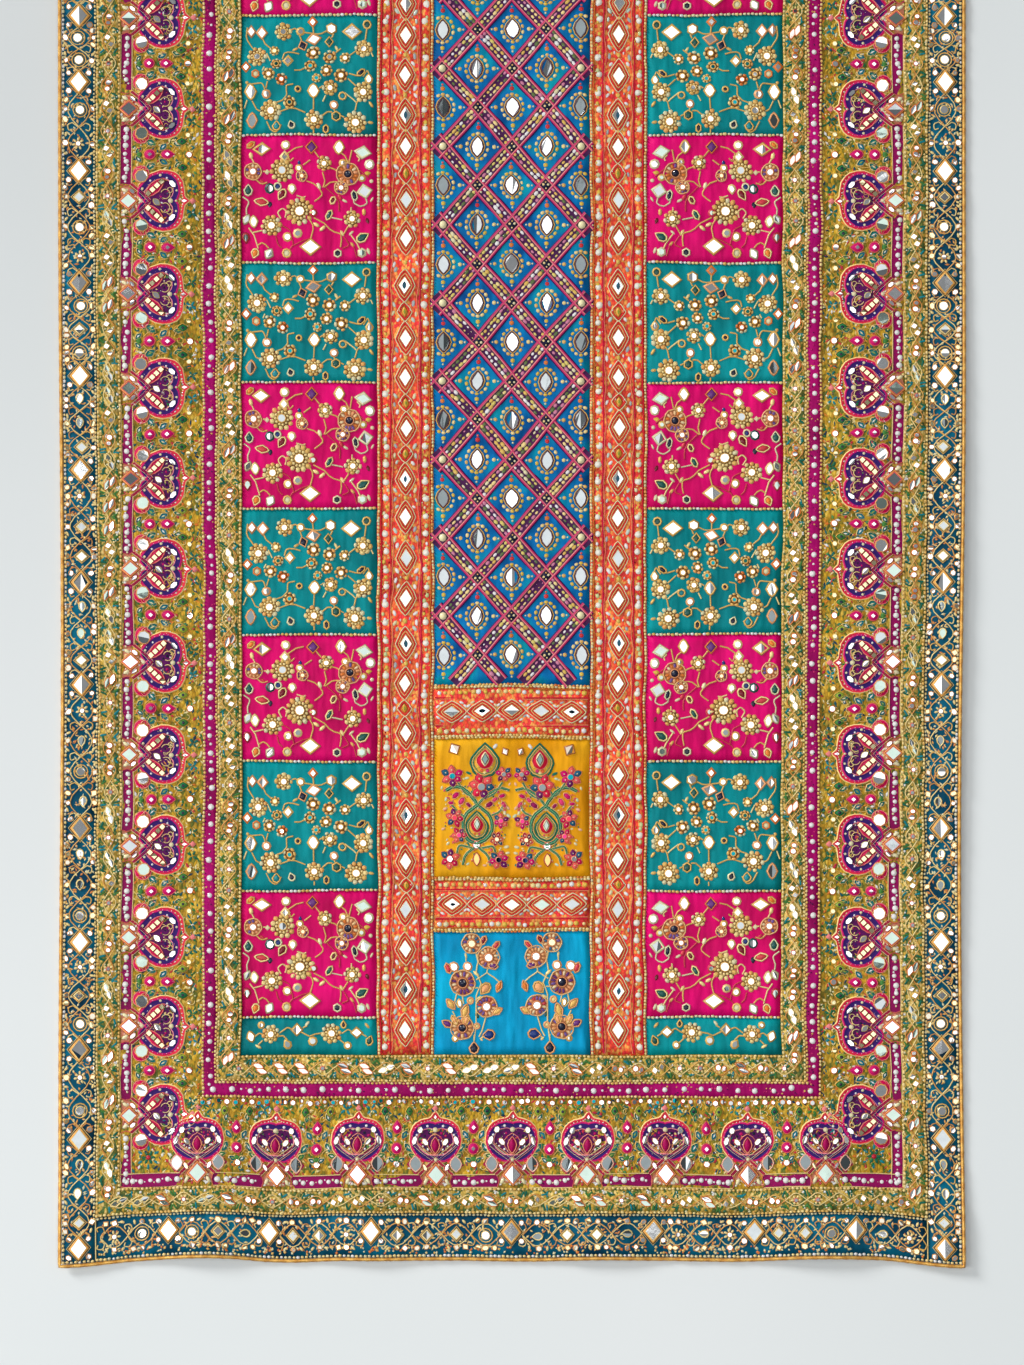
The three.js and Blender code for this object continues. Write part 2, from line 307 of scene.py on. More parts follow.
# The look of each slot of cloth.
LOOKS = {
    "teal": satin("teal_silk", rgb(0, 116, 122), rgb(0, 138, 144), rgb(0, 152, 158)),
    "pink": satin("pink_silk", rgb(200, 0, 88), rgb(222, 0, 106), rgb(232, 4, 118)),
    "azure": satin("azure_silk", rgb(0, 128, 178), rgb(0, 158, 206), rgb(0, 176, 216)),
    "marigold": satin("marigold_silk", rgb(222, 144, 8), rgb(240, 166, 16), rgb(246, 184, 34)),
    "lattice_blue": satin(
        "lattice_cotton", rgb(0, 74, 140), rgb(0, 116, 182), rgb(0, 150, 170), 0.6, broad_scale=34),
    "orange_red": stitched(
        "orange_embroidery", [rgb(252, 80, 54), rgb(255, 116, 66), rgb(255, 168, 84), rgb(246, 60, 64)],
        (420, 300, 300), 0.0004),
    "border_gold": stitched(
        "gold_embroidery", [rgb(206, 162, 40), rgb(184, 140, 36), rgb(110, 116, 44), rgb(222, 182, 70),
                            rgb(196, 150, 44), rgb(150, 132, 40)], (420, 240, 300)),
    "olive_trim": stitched(
        "olive_embroidery", [rgb(204, 166, 66), rgb(220, 184, 88), rgb(122, 128, 58), rgb(232, 200, 120),
                             rgb(90, 112, 60)], (420, 300, 300)),
    "magenta_ribbon": satin("ribbon_silk", rgb(136, 0, 78), rgb(166, 0, 98), rgb(182, 2, 110)),
    "border_teal": satin(
        "border_cotton", rgb(0, 52, 78), rgb(0, 84, 110), rgb(0, 110, 140), 0.6, broad_scale=24),
    "gold_cord": tinted("gold_edge_cord", 0.38, 0.55, 700, 0.0004),
}
MIRROR = tinted("mirror_glass", 0.07, 1.0, 160, 0.00004, spread=0.06)
GOLD = tinted("gold_thread", 0.4, 0.1, 1100, 0.00025, specular=0.4, spread=0.3)
PEARL = tinted("pearl_beads", 0.3, 0.0, 400, 0.00005, coat=0.2, specular=0.3, spread=0.05)
SILK = tinted("silk_thread", 0.5, 0.0, 1300, 0.0002, specular=0.15, spread=0.3)
# Each kind of finish: its material, its slot and whether its faces are smooth.
KINDS = {
    "mirrors": (MIRROR, "mirror_glass", False),
    "gold": (GOLD, "gold_thread", True),
    "beads": (PEARL, "beads", True),
    "silk": (SILK, "silk_thread", True),
}

# Thread, bead and glass colours. On mirrors, GREY, SEA and the smoky dark tint are painted reflections: the
# same silvered glass shown darker and greener than GLASS. GREY also colours some beads.
WHITE, CREAM, GREY = rgb(246, 244, 240), rgb(236, 226, 178), rgb(176, 182, 184)
GLASS, DARK_REFLECTION, SEA = rgb(244, 246, 247), rgb(120, 128, 130), rgb(176, 194, 184)
GOLD_LIGHT, GOLD_MAIN, GOLD_DEEP = rgb(255, 226, 150), rgb(240, 190, 100), rgb(204, 140, 64)
CORAL, RED, ROSE, MAGENTA = rgb(232, 96, 90), rgb(222, 40, 44), rgb(226, 60, 120), rgb(206, 8, 106)
INDIGO, NIGHT = rgb(52, 22, 104), rgb(20, 26, 52)
GREEN, LEAF, SPRING, AQUA = rgb(30, 110, 80), rgb(70, 130, 60), rgb(150, 170, 60), rgb(20, 140, 150)
ORANGE, YELLOW, BLUSH = rgb(236, 128, 44), rgb(236, 196, 70), rgb(240, 216, 208)


# Shapes.
class Heap:
    """Shapes gathered as flat points with a height over the cloth, with one tint a point."""

    def __init__(self):
        self.points, self.faces, self.tints, self.count = [], [], [], 0

    def add(self, points, faces, tints):
        self.points.append(points)
        self.faces.append(faces + self.count)
        self.tints.append(np.broadcast_to(tints, (len(points), 3)))
        self.count += len(points)

    def joined(self):
        return np.concatenate(self.points), np.concatenate(self.faces), np.concatenate(self.tints)


class Zone:
    """The mirrors, gold, beads and silk of one part of the garment."""

    def __init__(self):
        for kind in KINDS:
            setattr(self, kind, Heap())

    def paste(self, motif, at, turn=0.0, flip=1):
        """Copies a motif here, turned, and mirrored across first if flip is -1."""
        c, s = math.cos(turn), math.sin(turn)
        for kind in KINDS:
            source = getattr(motif, kind)
            if not source.count:
                continue
            p, f, t = source.joined()
            x, y = flip * p[:, 0], p[:, 1]
            moved = np.stack([at[0] + c * x - s * y, at[1] + s * x + c * y, p[:, 2]], -1)
            getattr(self, kind).add(moved, f[:, ::-1] if flip < 0 else f, t)

    def mirrored(self, across=False, along=False):
        """Adds the mirror image of all that is here, across the centre line or end to end."""
        for kind in KINDS:
            heap = getattr(self, kind)
            if not heap.count:
                continue
            p, f, t = heap.joined()
            if across:
                p = p * (-1, 1, 1)
            if along:
                p = p * (1, -1, 1) + (0, LENGTH, 0)
            heap.add(p, f[:, ::-1] if across != along else f, t)


def around(t):
    """Points of a circle of radius one at these angles."""
    return np.stack([np.cos(t), np.sin(t)], -1)


def rounded(n):
    return around(-np.pi / 2 + 2 * np.pi * np.arange(n) / n)


def pointed(n, power=1.0):
    """A pointed oval, with its points at the near and far ends."""
    y = -np.cos(np.pi * np.arange(n // 2 + 1) / (n // 2))
    x = (1 - y**2) ** power
    right = np.stack([x, y], -1)
    return np.concatenate([right[:-1], -right[:-1]])


def dropped(n):
    """A drop with its point at the far end."""
    p = rounded(n)
    y = p[:, 1]
    return np.stack([p[:, 0] * np.where(y > 0, (1 - y) ** 0.5, 1.0), y], -1)


DIAMOND, ROUND, OCTAGON, HEXAGON = rounded(4), rounded(12), rounded(8), rounded(6)
PENTAGON, LENS, SEED, DROP, LEAF_SHAPE = rounded(5), pointed(12), pointed(6, 0.8), dropped(10), pointed(8)
# Shapes under this size, in millimetres, have no middle loop, and mirrors under it a plain rim.
SMALL, SMALL_MIRROR = 3.8, 4.6
# A diamond's rim is set out to its points, so it needs more to look as wide as the others.
DIAMOND_RIM = 1.3
# The share of mirrors that are cracked, how far their halves fold, and how far every mirror leans.
CRACKED, CRACK_FOLD, MIRROR_LEAN = 0.25, (0.12, 0.22), 0.05
# How dark the foot of a raised shape, the edge of a low stitch and the foot of a cord are painted: painted
# shade where each meets the cloth.
PAINTED_FOOT_SHADE, PAINTED_EDGE_SHADE, PAINTED_CORD_SHADE = 0.25, 0.68, 0.5
# A path keeps a point for so much bend in radians, or so many millimetres.
MOST_BEND, LONGEST_STEP = 0.5, 20
# Common profiles, as (share of the size, extra size, height) a loop from the foot up.
FLAT = [(1, 0, 0)]
STONE = [(1, 0, 0), (0.75, 0, 1.0)]
BUD = [(1, 0, 0), (0.85, 0, 1.1)]
BUD_EDGE = [(1, 0.7, 0), (1, 0.1, 1.2), (1, -0.5, 0.8)]
RING = [(1, 0.7, 0), (1, 0, 1.2), (1, -0.7, 0)]
PETAL_HEIGHT = 1.3


def drawn(options, count):
    """So many of the options, each drawn by chance."""
    return np.array(options)[rng.integers(0, len(options), count)]


def jittered(at, amount):
    return at + rng.normal(0, amount, at.shape)


def loft(heap, outline, at, size, profile, tint, turn=0.0, top=None, lean=0.0, fold=0.0, base=0.0):
    """Loops of an outline, one above the other, at many places at once.
    profile is (share of the size, extra size, height) a loop. top closes the last loop at that height,
    and lean and fold tilt it as a whole and about its long line. The lowest loop, at the foot, is darker:
    painted shade."""
    at = np.atleast_2d(np.asarray(at, float))
    n, m = len(at), len(outline)
    size = np.broadcast_to(np.asarray(size, float), (n, 2))
    turn, base, fold = (np.broadcast_to(np.asarray(x, float), (n,)) for x in (turn, base, fold))
    domed = top is not None and top > profile[-1][2]
    if domed and len(profile) == 2 and size.max() < SMALL:
        profile = profile[:1]
    lean = np.broadcast_to(np.asarray(lean, float), (n, 2))
    rings = []
    for level, (share, extra, height) in enumerate(profile):
        x = outline[:, 0] * (size[:, :1] * share + extra)
        y = outline[:, 1] * (size[:, 1:] * share + extra)
        z = np.broadcast_to(base[:, None] + height, x.shape)
        if top is not None and level == len(profile) - 1:
            z = z + lean[:, :1] * x + lean[:, 1:] * y + fold[:, None] * np.abs(x)
        rings.append(np.stack([x, y, z], -1))
    faces = []
    k = np.arange(m)
    for level in range(len(profile) - 1):
        a, b = level * m + k, level * m + (k + 1) % m
        faces += [np.stack([a, b, b + m], -1), np.stack([a, b + m, a + m], -1)]
    last = (len(profile) - 1) * m
    if domed:
        axis = np.zeros((n, 1))
        rings.append(np.stack([axis, axis, np.broadcast_to(base[:, None] + top, (n, 1))], -1))
        faces.append(np.stack([last + k, last + (k + 1) % m, np.full(m, last + m)], -1))
    elif top is not None:
        half = m // 2
        right = np.arange(1, half)
        left = np.arange(half + 1, m)
        faces.append(last + np.stack([np.zeros_like(right), right, right + 1], -1))
        faces.append(last + np.stack([np.full_like(left, half), left, (left + 1) % m], -1))
    local = np.concatenate(rings, 1)
    faces = np.concatenate(faces)
    c, s = np.cos(turn)[:, None], np.sin(turn)[:, None]
    x, y = local[..., 0], local[..., 1]
    points = np.stack([at[:, :1] + c * x - s * y, at[:, 1:] + s * x + c * y, local[..., 2]], -1)
    per = points.shape[1]
    all_faces = (faces[None] + per * np.arange(n)[:, None, None]).reshape(-1, 3)
    # Painted shade: the foot loop's tint is darkened where the shape meets the cloth.
    if len(profile) > 1 and size.max() > SMALL:
        foot = PAINTED_FOOT_SHADE
    elif domed or len(profile) > 1:
        foot = PAINTED_EDGE_SHADE
    else:
        foot = 1.0
    shade = np.where(np.arange(per) < m, foot, 1.0)
    tints = np.broadcast_to(np.asarray(tint, float), (n, 3))[:, None] * shade[None, :, None]
    heap.add(points.reshape(-1, 3), all_faces, tints.reshape(-1, 3))


def eased(path):
    """A path without the points that it can spare, so that a step bends little and is not long."""
    step = np.diff(path, axis=0)
    length = np.linalg.norm(step, axis=1)
    heading = np.arctan2(step[:, 1], step[:, 0])
    bend = np.abs((np.diff(heading) + np.pi) % (2 * np.pi) - np.pi)
    used = np.floor(np.concatenate([[0], np.cumsum(bend / MOST_BEND + length[:-1] / LONGEST_STEP)]))
    return path[np.concatenate([[True], np.diff(used) > 0, [True]])]


def braid(heap, path, rows, closed=False):
    """Cords worked side by side as one strip: each row has its place across, its height and its tint."""
    path = eased(np.asarray(path, float))
    if closed:
        ahead = np.roll(path, -1, 0) - np.roll(path, 1, 0)
    else:
        ahead = np.gradient(path, axis=0)
    ahead /= np.maximum(np.linalg.norm(ahead, axis=1, keepdims=True), 1e-9)
    side = np.stack([-ahead[:, 1], ahead[:, 0]], -1)
    n = len(path)
    points = [np.concatenate([path + side * across, np.full((n, 1), height)], 1)
              for across, height, _ in rows]
    k = np.arange(n if closed else n - 1)
    faces = []
    for row in range(len(rows) - 1):
        a, b = row * n + k, row * n + (k + 1) % n
        faces += [np.stack([a, a + n, b + n], -1), np.stack([a, b + n, b], -1)]
    tints = np.repeat([tint for _, _, tint in rows], n, axis=0)
    heap.add(np.concatenate(points), np.concatenate(faces), tints)


def cord(heap, path, width, height, tint, closed=False, round_top=False):
    """A raised cord along a path: a low ridge with a rounded top, its two foot edges darker as painted shade.
    """
    tint = np.asarray(tint)
    top = [(0, height, tint)]
    if round_top:
        top = [(0.28 * width, 0.8 * height, tint), (-0.28 * width, 0.8 * height, tint)]
    # Painted shade: the cord's foot edges are darker than its top.
    dark = tint * PAINTED_CORD_SHADE
    braid(heap, path, [(0.5 * width, 0, dark), *top, (-0.5 * width, 0, dark)], closed)


def curve(points, per=6):
    """A smooth path through the points."""
    p = np.asarray(points, float)
    p = np.concatenate([2 * p[:1] - p[1:2], p, 2 * p[-1:] - p[-2:-1]])
    out = []
    for a, b, c, d in zip(p, p[1:], p[2:], p[3:]):
        t = np.arange(per)[:, None] / per
        square, cube = 2 * a - 5 * b + 4 * c - d, 3 * b - a - 3 * c + d
        out.append(0.5 * (2 * b + (c - a) * t + square * t**2 + cube * t**3))
    return np.concatenate([*out, p[-2:-1]])


def spaced(start, end, pitch):
    """Points along a straight line at about this pitch, ends included."""
    start, end = np.asarray(start, float), np.asarray(end, float)
    count = max(1, round(np.linalg.norm(end - start) / pitch))
    return start + (end - start) * (np.arange(count + 1)[:, None] / count)


def beads(heap, at, radius, tint, long=1.0, turn=0.0, tall=0.6, sides=6, base=0.0):
    """Round or long beads, all of one height, which is a share of their mean radius."""
    radius = np.broadcast_to(np.asarray(radius, float), (len(np.atleast_2d(at)),))
    size = np.stack([radius, radius * long], -1)
    height = tall * float(radius.mean())
    profile = [(1, 0, 0), (0.82, 0, height)]
    loft(heap, rounded(sides), at, size, profile, tint, turn, top=height * 1.2, base=base)


def pad(heap, points, height, tint, crown=0.3):
    """A low filled shape with its outline through these points, in order round it."""
    points = np.asarray(points, float)
    middle = points.mean(0)
    loft(heap, points - middle, [middle], 1.0, [(1, 0, 0), (0.94, 0, height)], tint, top=height + crown)


def bead_line(heap, start, end, pitch=3.7, radius=1.3, tints=(GOLD_LIGHT, GOLD_MAIN), long=1.25):
    """A line of beads couched end to end, a little uneven."""
    at = spaced(start, end, pitch)
    heading = math.atan2(end[1] - start[1], end[0] - start[0]) - math.pi / 2
    at = jittered(at, 0.18)
    tint = drawn(tints, len(at))
    size = radius * rng.uniform(0.85, 1.15, (len(at), 1)) * (1, long)
    loft(heap, PENTAGON, at, size, FLAT, tint, heading, top=radius * 1.2)


def glass(zone, outline, at, size, turn=0.0, tint=GLASS, rim=GOLD_MAIN, width=1.6, rim_heap="gold",
          tall=1.1, base=0.0):
    """Mirrors with their stitched rims. Some are cracked along the middle, and all lean a little."""
    at = np.atleast_2d(np.asarray(at, float))
    n = len(at)
    folds = np.where(rng.random(n) < CRACKED, rng.choice((-1, 1), n) * rng.uniform(*CRACK_FOLD, n), 0)
    plain = np.max(size) < SMALL_MIRROR
    if len(outline) == 4:
        width = width * DIAMOND_RIM
    loft(zone.mirrors, outline, at, size, [(1, 0 if plain else -0.2, tall * 0.7)], tint, turn,
         top=tall * 0.7, lean=rng.normal(0, MIRROR_LEAN, (n, 2)), fold=folds, base=base)
    profile = [(1, width, 0), (1, width * 0.45, tall * 1.25), (1, -0.35, tall * 0.6)]
    if plain:
        profile = [(1, width, 0), (1, 0, tall * 1.1)]
    loft(getattr(zone, rim_heap), outline, at, size, profile, rim, turn, base=base)


def edged(motif, outline, at, size, tint, edge_tint, fill, edge, turn=0.0, top=1.3):
    """Shapes filled with silk, and a gold cord round each."""
    loft(motif.silk, outline, at, size, fill, tint, turn, top=top)
    loft(motif.gold, outline, at, size, edge, edge_tint, turn)


def shifted(path, distance):
    """A path moved sideways to its left."""
    ahead = np.gradient(path, axis=0)
    ahead /= np.maximum(np.linalg.norm(ahead, axis=1, keepdims=True), 1e-9)
    return path + distance * np.stack([-ahead[:, 1], ahead[:, 0]], -1)


def picked(options):
    return options[rng.integers(0, len(options))]


def chips(heap, at, low, high, tints, tall=0.9):
    """Small four-sided stitches and chips of many tints, each turned its own way."""
    at = np.asarray(at, float)
    size = rng.uniform(low, high, (len(at), 2))
    tint = np.array(tints)[rng.integers(0, len(tints), len(at))]
    loft(heap, DIAMOND, at, size, [(1, 0, 0)], tint, rng.uniform(0, np.pi, len(at)), top=tall)


def petals(heap, centre, radius, count, size, tint, phase=0.0):
    """Raised petals round a centre, pointing outwards."""
    t = phase + 2 * np.pi * np.arange(count) / count
    at = np.asarray(centre, float) + radius * around(t)
    profile = [(1, 0, 0), (0.6, 0, PETAL_HEIGHT * 0.8)]
    loft(heap, SEED, at, size, profile, tint, t - np.pi / 2, top=PETAL_HEIGHT)


def rosette(zone, centre, radius, middle=GLASS, petal=GOLD_MAIN):
    """A flower of gold petals in two rings round a mirror, on a dark ground."""
    count = max(7, round(radius * 0.95))
    core = max(0.3 * radius, 1.9)
    t = 2 * np.pi * np.arange(count) / count + rng.uniform(0, 1)
    loft(zone.silk, OCTAGON, [centre], radius * 0.94, FLAT, rgb(130, 78, 34), top=0.5)
    reach = radius * rng.uniform(0.76, 0.86, (count, 1))
    ring = np.asarray(centre) + reach * around(t)
    width = math.pi * radius * 0.8 / count
    size = rng.uniform(0.82, 1.1, (count, 1)) * (width, 0.24 * radius)
    tints = drawn([petal, GOLD_LIGHT, GOLD_LIGHT, CREAM, petal, rgb(248, 180, 96)], count)
    loft(zone.gold, HEXAGON, ring, size, FLAT, tints, t - np.pi / 2, top=2.0)
    if radius > 7.5:
        t = t + np.pi / count
        ring = np.asarray(centre) + 0.52 * radius * around(t)
        size = (width * 0.62, 0.13 * radius)
        loft(zone.gold, HEXAGON, ring, size, [(1, 0, 0.3)], GOLD_LIGHT, t - np.pi / 2, top=2.2)
    loft(zone.gold, OCTAGON, [centre], core, [(1, 1.4, 0.4), (1, 0.7, 2.2), (1, -0.2, 1.2)], petal)
    lean = rng.normal(0, 0.03, (1, 2))
    loft(zone.mirrors, OCTAGON, [centre], core, [(1, 0, 1.5)], middle, top=1.5, lean=lean)


# Cloth pieces.
def shell_object(name, slot, grid_a, grid_v, thickness, lift=0.0, closed_ring=False, ditch=0.0):
    """A thin closed shell of cloth from a grid of flat points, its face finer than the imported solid's."""
    rows, cols = grid_a.shape
    under = place(grid_a, grid_v, np.zeros_like(grid_a))
    under[..., 2] += lift / 1000
    i, j = np.meshgrid(np.arange(rows), np.arange(cols), indexing="ij")
    from_edge = np.minimum(j, cols - 1 - j)
    if not closed_ring:
        from_edge = np.minimum(from_edge, np.minimum(i, rows - 1 - i))
    sunk = np.where(from_edge == 0, ditch, 0.0)
    face = place(grid_a, grid_v, np.full_like(grid_a, lift + thickness) - sunk)
    vertices = np.concatenate([under.reshape(-1, 3), face.reshape(-1, 3)])
    index = np.arange(rows * cols).reshape(rows, cols)
    if closed_ring:
        ahead = np.roll(index, -1, 0)
        a, b, c, d = index[:, :-1], index[:, 1:], ahead[:, 1:], ahead[:, :-1]
    else:
        a, b, c, d = index[:-1, :-1], index[:-1, 1:], index[1:, 1:], index[1:, :-1]
    quads = np.stack([a, b, c, d], -1).reshape(-1, 4)
    n = rows * cols
    if closed_ring:
        inner, outer = index[:, 0], index[:, -1]
        rim = [np.stack([np.roll(inner, -1), inner], -1), np.stack([outer, np.roll(outer, -1)], -1)]
    else:
        loop = np.concatenate([index[0, :-1], index[:-1, -1], index[-1, :0:-1], index[:0:-1, 0]])
        rim = [np.stack([loop, np.roll(loop, -1)], -1)]
    walls = np.concatenate([np.concatenate([r, r[:, ::-1] + n], 1) for r in rim])
    faces = np.concatenate([quads + n, quads[:, ::-1], walls])
    if signed_area(grid_a, grid_v) < 0:
        faces = faces[:, ::-1]
    return mesh_object(name, vertices, faces, LOOKS[slot], True)


def signed_area(grid_a, grid_v):
    da = (grid_a[0, 1] - grid_a[0, 0], grid_v[0, 1] - grid_v[0, 0])
    dv = (grid_a[1, 0] - grid_a[0, 0], grid_v[1, 0] - grid_v[0, 0])
    return da[0] * dv[1] - da[1] * dv[0]


def mesh_object(name, vertices, faces, finish, smooth, tints=None):
    mesh = bpy.data.meshes.new(name)
    width = faces.shape[1]
    mesh.vertices.add(len(vertices))
    mesh.vertices.foreach_set("co", vertices.astype(np.float32).ravel())
    mesh.loops.add(faces.size)
    mesh.loops.foreach_set("vertex_index", faces.astype(np.int32).ravel())
    mesh.polygons.add(len(faces))
    mesh.polygons.foreach_set("loop_start", np.arange(0, faces.size, width, dtype=np.int32))
    mesh.polygons.foreach_set("loop_total", np.full(len(faces), width, np.int32))
    mesh.update(calc_edges=True)
    mesh.validate()
    mesh.polygons.foreach_set("use_smooth", np.full(len(mesh.polygons), smooth))
    if tints is not None:
        layer = mesh.color_attributes.new("tint", "FLOAT_COLOR", "POINT")
        colours = np.concatenate([tints, np.ones((len(tints), 1))], 1)
        layer.data.foreach_set("color", colours.astype(np.float32).ravel())
    mesh.materials.append(finish)
    piece = bpy.data.objects.new(name, mesh)
    bpy.context.scene.collection.objects.link(piece)
    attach(piece, "root")
    return piece


# Cells of the long and of the small pieces, and how far a panel's and a trim's rims sink.
LONG_CELL, SMALL_CELL, PANEL_DITCH, TRIM_DITCH = 8.6, 7.6, 0.7, 0.3


def lines(start, end, step):
    return np.linspace(start, end, max(1, round(abs(end - start) / step)) + 1)


def cloth(piece, node, width, length, area=None):
    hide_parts(node)
    return piece


def panel(node, slot, left, right, near, far, cell=LONG_CELL):
    """A rectangle of cloth, with its rim sunk a little into the seam."""
    a = lines(left + SEAM, right - SEAM, cell)
    v = lines(near + SEAM, far - SEAM, cell * 1.15)
    grid_v, grid_a = np.meshgrid(v, a, indexing="ij")
    piece = shell_object(node + "_cloth", slot, grid_a, grid_v, CLOTH, ditch=PANEL_DITCH)
    cloth(piece, node, right - left, far - near)


def mitred(node, place_name):
    """One side of the wide border's ground, its ends cut along the mitres."""
    columns = 14
    s = np.linspace(0, 1, columns)
    side_a = OUTER + (PATCH - OUTER) * s
    end_v = E_TEAL + (E_INNER - E_TEAL) * s
    if place_name in ("left", "right"):
        sign = -1 if place_name == "left" else 1
        t = lines(0, 1, 1 / 200)[:, None]
        grid_a = sign * np.broadcast_to(side_a, (len(t), columns)) * 1.0
        grid_v = end_v + (LENGTH - 2 * end_v) * t
        size = (OUTER - PATCH, LENGTH - 2 * E_TEAL)
        area = (OUTER - PATCH) * (LENGTH - E_TEAL - E_INNER)
    else:
        t = lines(-1, 1, 1 / 36)[:, None]
        grid_a = side_a * t
        grid_v = np.broadcast_to(end_v, grid_a.shape) * 1.0
        grid_v = grid_v if place_name == "near" else LENGTH - grid_v
        size = (2 * OUTER, E_INNER - E_TEAL)
        area = (OUTER + PATCH) * (E_INNER - E_TEAL)
    cloth(shell_object(node + "_cloth", "border_gold", grid_a, grid_v, CLOTH), node, *size, area)


def ring_grid(outer_side, outer_end, inner_side, inner_end, cells, step):
    s = np.linspace(0, 1, cells + 1)
    side = outer_side + (inner_side - outer_side) * s
    end = outer_end + (inner_end - outer_end) * s
    across, along = max(2, round(2 * outer_side / step)), max(2, round((LENGTH - 2 * outer_end) / step))
    ta, tv = np.linspace(-1, 1, across + 1)[:-1, None], np.linspace(0, 1, along + 1)[:-1, None]
    near = (side * ta, np.broadcast_to(end, (across, cells + 1)))
    right = (np.broadcast_to(side, (along, cells + 1)), end + (LENGTH - 2 * end) * tv)
    far = (-near[0], LENGTH - near[1])
    left = (-right[0], LENGTH - right[1])
    return tuple(np.concatenate([part[k] for part in (near, right, far, left)]) for k in (0, 1))


def trim(node, slot, outer_side, outer_end, inner_side, inner_end):
    edges = (outer_side - SEAM, outer_end + SEAM, inner_side + SEAM, inner_end - SEAM)
    grid_a, grid_v = ring_grid(*edges, cells=3, step=12)
    width = outer_side - inner_side
    length = 2 * (outer_side + inner_side + LENGTH - outer_end - inner_end)
    lift = CLOTH + LAYER_GAP
    piece = shell_object(node + "_cloth", slot, grid_a, grid_v, TRIM, lift, True, ditch=TRIM_DITCH)
    cloth(piece, node, width, length)


def piping():
    """The twisted cord round the edge, as a tube with a strand that shows."""
    half_width, half_height, middle = 1.85, 1.7, 2.1
    grid_a, grid_v = ring_grid(EDGE - 2, 2, EDGE - 2, 2, 0, 3.8)
    a, v = grid_a[:, 0], grid_v[:, 0]
    n, sides = len(a), 6
    ahead = np.stack([np.roll(a, -1) - np.roll(a, 1), np.roll(v, -1) - np.roll(v, 1)], -1)
    ahead /= np.linalg.norm(ahead, axis=1, keepdims=True)
    out = np.stack([ahead[:, 1], -ahead[:, 0]], -1)
    t = 2 * np.pi * np.arange(sides) / sides
    twist = 1 + 0.1 * np.sin(2 * (t[None] - np.arange(n)[:, None] * 1.15))
    reach = half_width * np.cos(t) * twist
    up = middle + half_height * np.sin(t) * twist
    points = place(a[:, None] + out[:, :1] * reach, v[:, None] + out[:, 1:] * reach, up)
    k, j = np.meshgrid(np.arange(n), np.arange(sides), indexing="ij")
    corners = [((k + step) % n) * sides + (j + turn) % sides
               for step, turn in ((0, 0), (1, 0), (1, 1), (0, 1))]
    faces = np.stack(corners, -1).reshape(-1, 4)
    tint = np.array([rgb(240, 186, 96), rgb(216, 154, 70)])[(np.arange(n) // 2) % 2]
    slot = "gold_cord"
    piece = mesh_object("edge_piping_cord", points.reshape(-1, 3), faces, LOOKS[slot], True,
                        np.repeat(tint, sides, 0))
    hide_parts("edge_piping")


def field():
    """The patches, the middle panels and the bands."""
    near = E_INNER
    for row, length in enumerate(ROW_LENGTHS):
        slot = "pink" if row % 2 else "teal"
        panel(f"patch_left_{row + 1:02d}", slot, -PATCH, -BAND, near, near + length, SMALL_CELL)
        panel(f"patch_right_{row + 1:02d}", slot, BAND, PATCH, near, near + length, SMALL_CELL)
        near += length
    near = E_INNER
    for name, length in CENTRE_PIECES:
        slot = {"azure_panel": "azure", "marigold_panel": "marigold"}.get(name, "orange_red")
        far = near + length
        panel(name + "_near", slot, -CENTRE, CENTRE, near, far, SMALL_CELL)
        panel(name + "_far", slot, -CENTRE, CENTRE, LENGTH - near - length, LENGTH - near, SMALL_CELL)
        near = far
    panel("lattice_panel", "lattice_blue", -CENTRE, CENTRE, near, LENGTH - near)
    panel("long_band_left", "orange_red", -BAND, -CENTRE, E_INNER, LENGTH - E_INNER)
    panel("long_band_right", "orange_red", CENTRE, BAND, E_INNER, LENGTH - E_INNER)


def borders():
    for side in ("left", "right", "near", "far"):
        mitred(f"border_ground_{side}", side)
    panel("teal_border_left", "border_teal", -TEAL, -OUTER, E_PIPE, LENGTH - E_PIPE)
    panel("teal_border_right", "border_teal", OUTER, TEAL, E_PIPE, LENGTH - E_PIPE)
    panel("teal_border_near", "border_teal", -OUTER, OUTER, E_PIPE, E_TEAL)
    panel("teal_border_far", "border_teal", -OUTER, OUTER, LENGTH - E_TEAL, LENGTH - E_PIPE)
    trim("outer_trim", "olive_trim", OUTER, E_TEAL, WIDE, E_OUTER)
    trim("magenta_ribbon", "magenta_ribbon", RIBBON, E_WIDE, INNER, E_RIBBON)
    trim("inner_trim", "olive_trim", INNER, E_RIBBON, PATCH, E_INNER)
    piping()


def finish_zone(name, zone, base):
    """Turns a zone's heaps into pieces that sit on the cloth's face, or on a trim's."""
    for kind, (finish, slot, smooth) in KINDS.items():
        heap = getattr(zone, kind)
        if heap.count:
            p, f, t = heap.joined()
            mesh_object(f"{name}_{kind}", place(p[:, 0], p[:, 1], p[:, 2] + base), f, finish, smooth, t)


# Patterns of the middle.
LATTICE_NEAR = E_INNER + sum(length for _, length in CENTRE_PIECES)
EYE_PITCH, HALF_CELL = 78.25, 34.5
# Beads further out than this would hang over the lattice panel's side seams.
LATTICE_REACH = CENTRE - 2.5


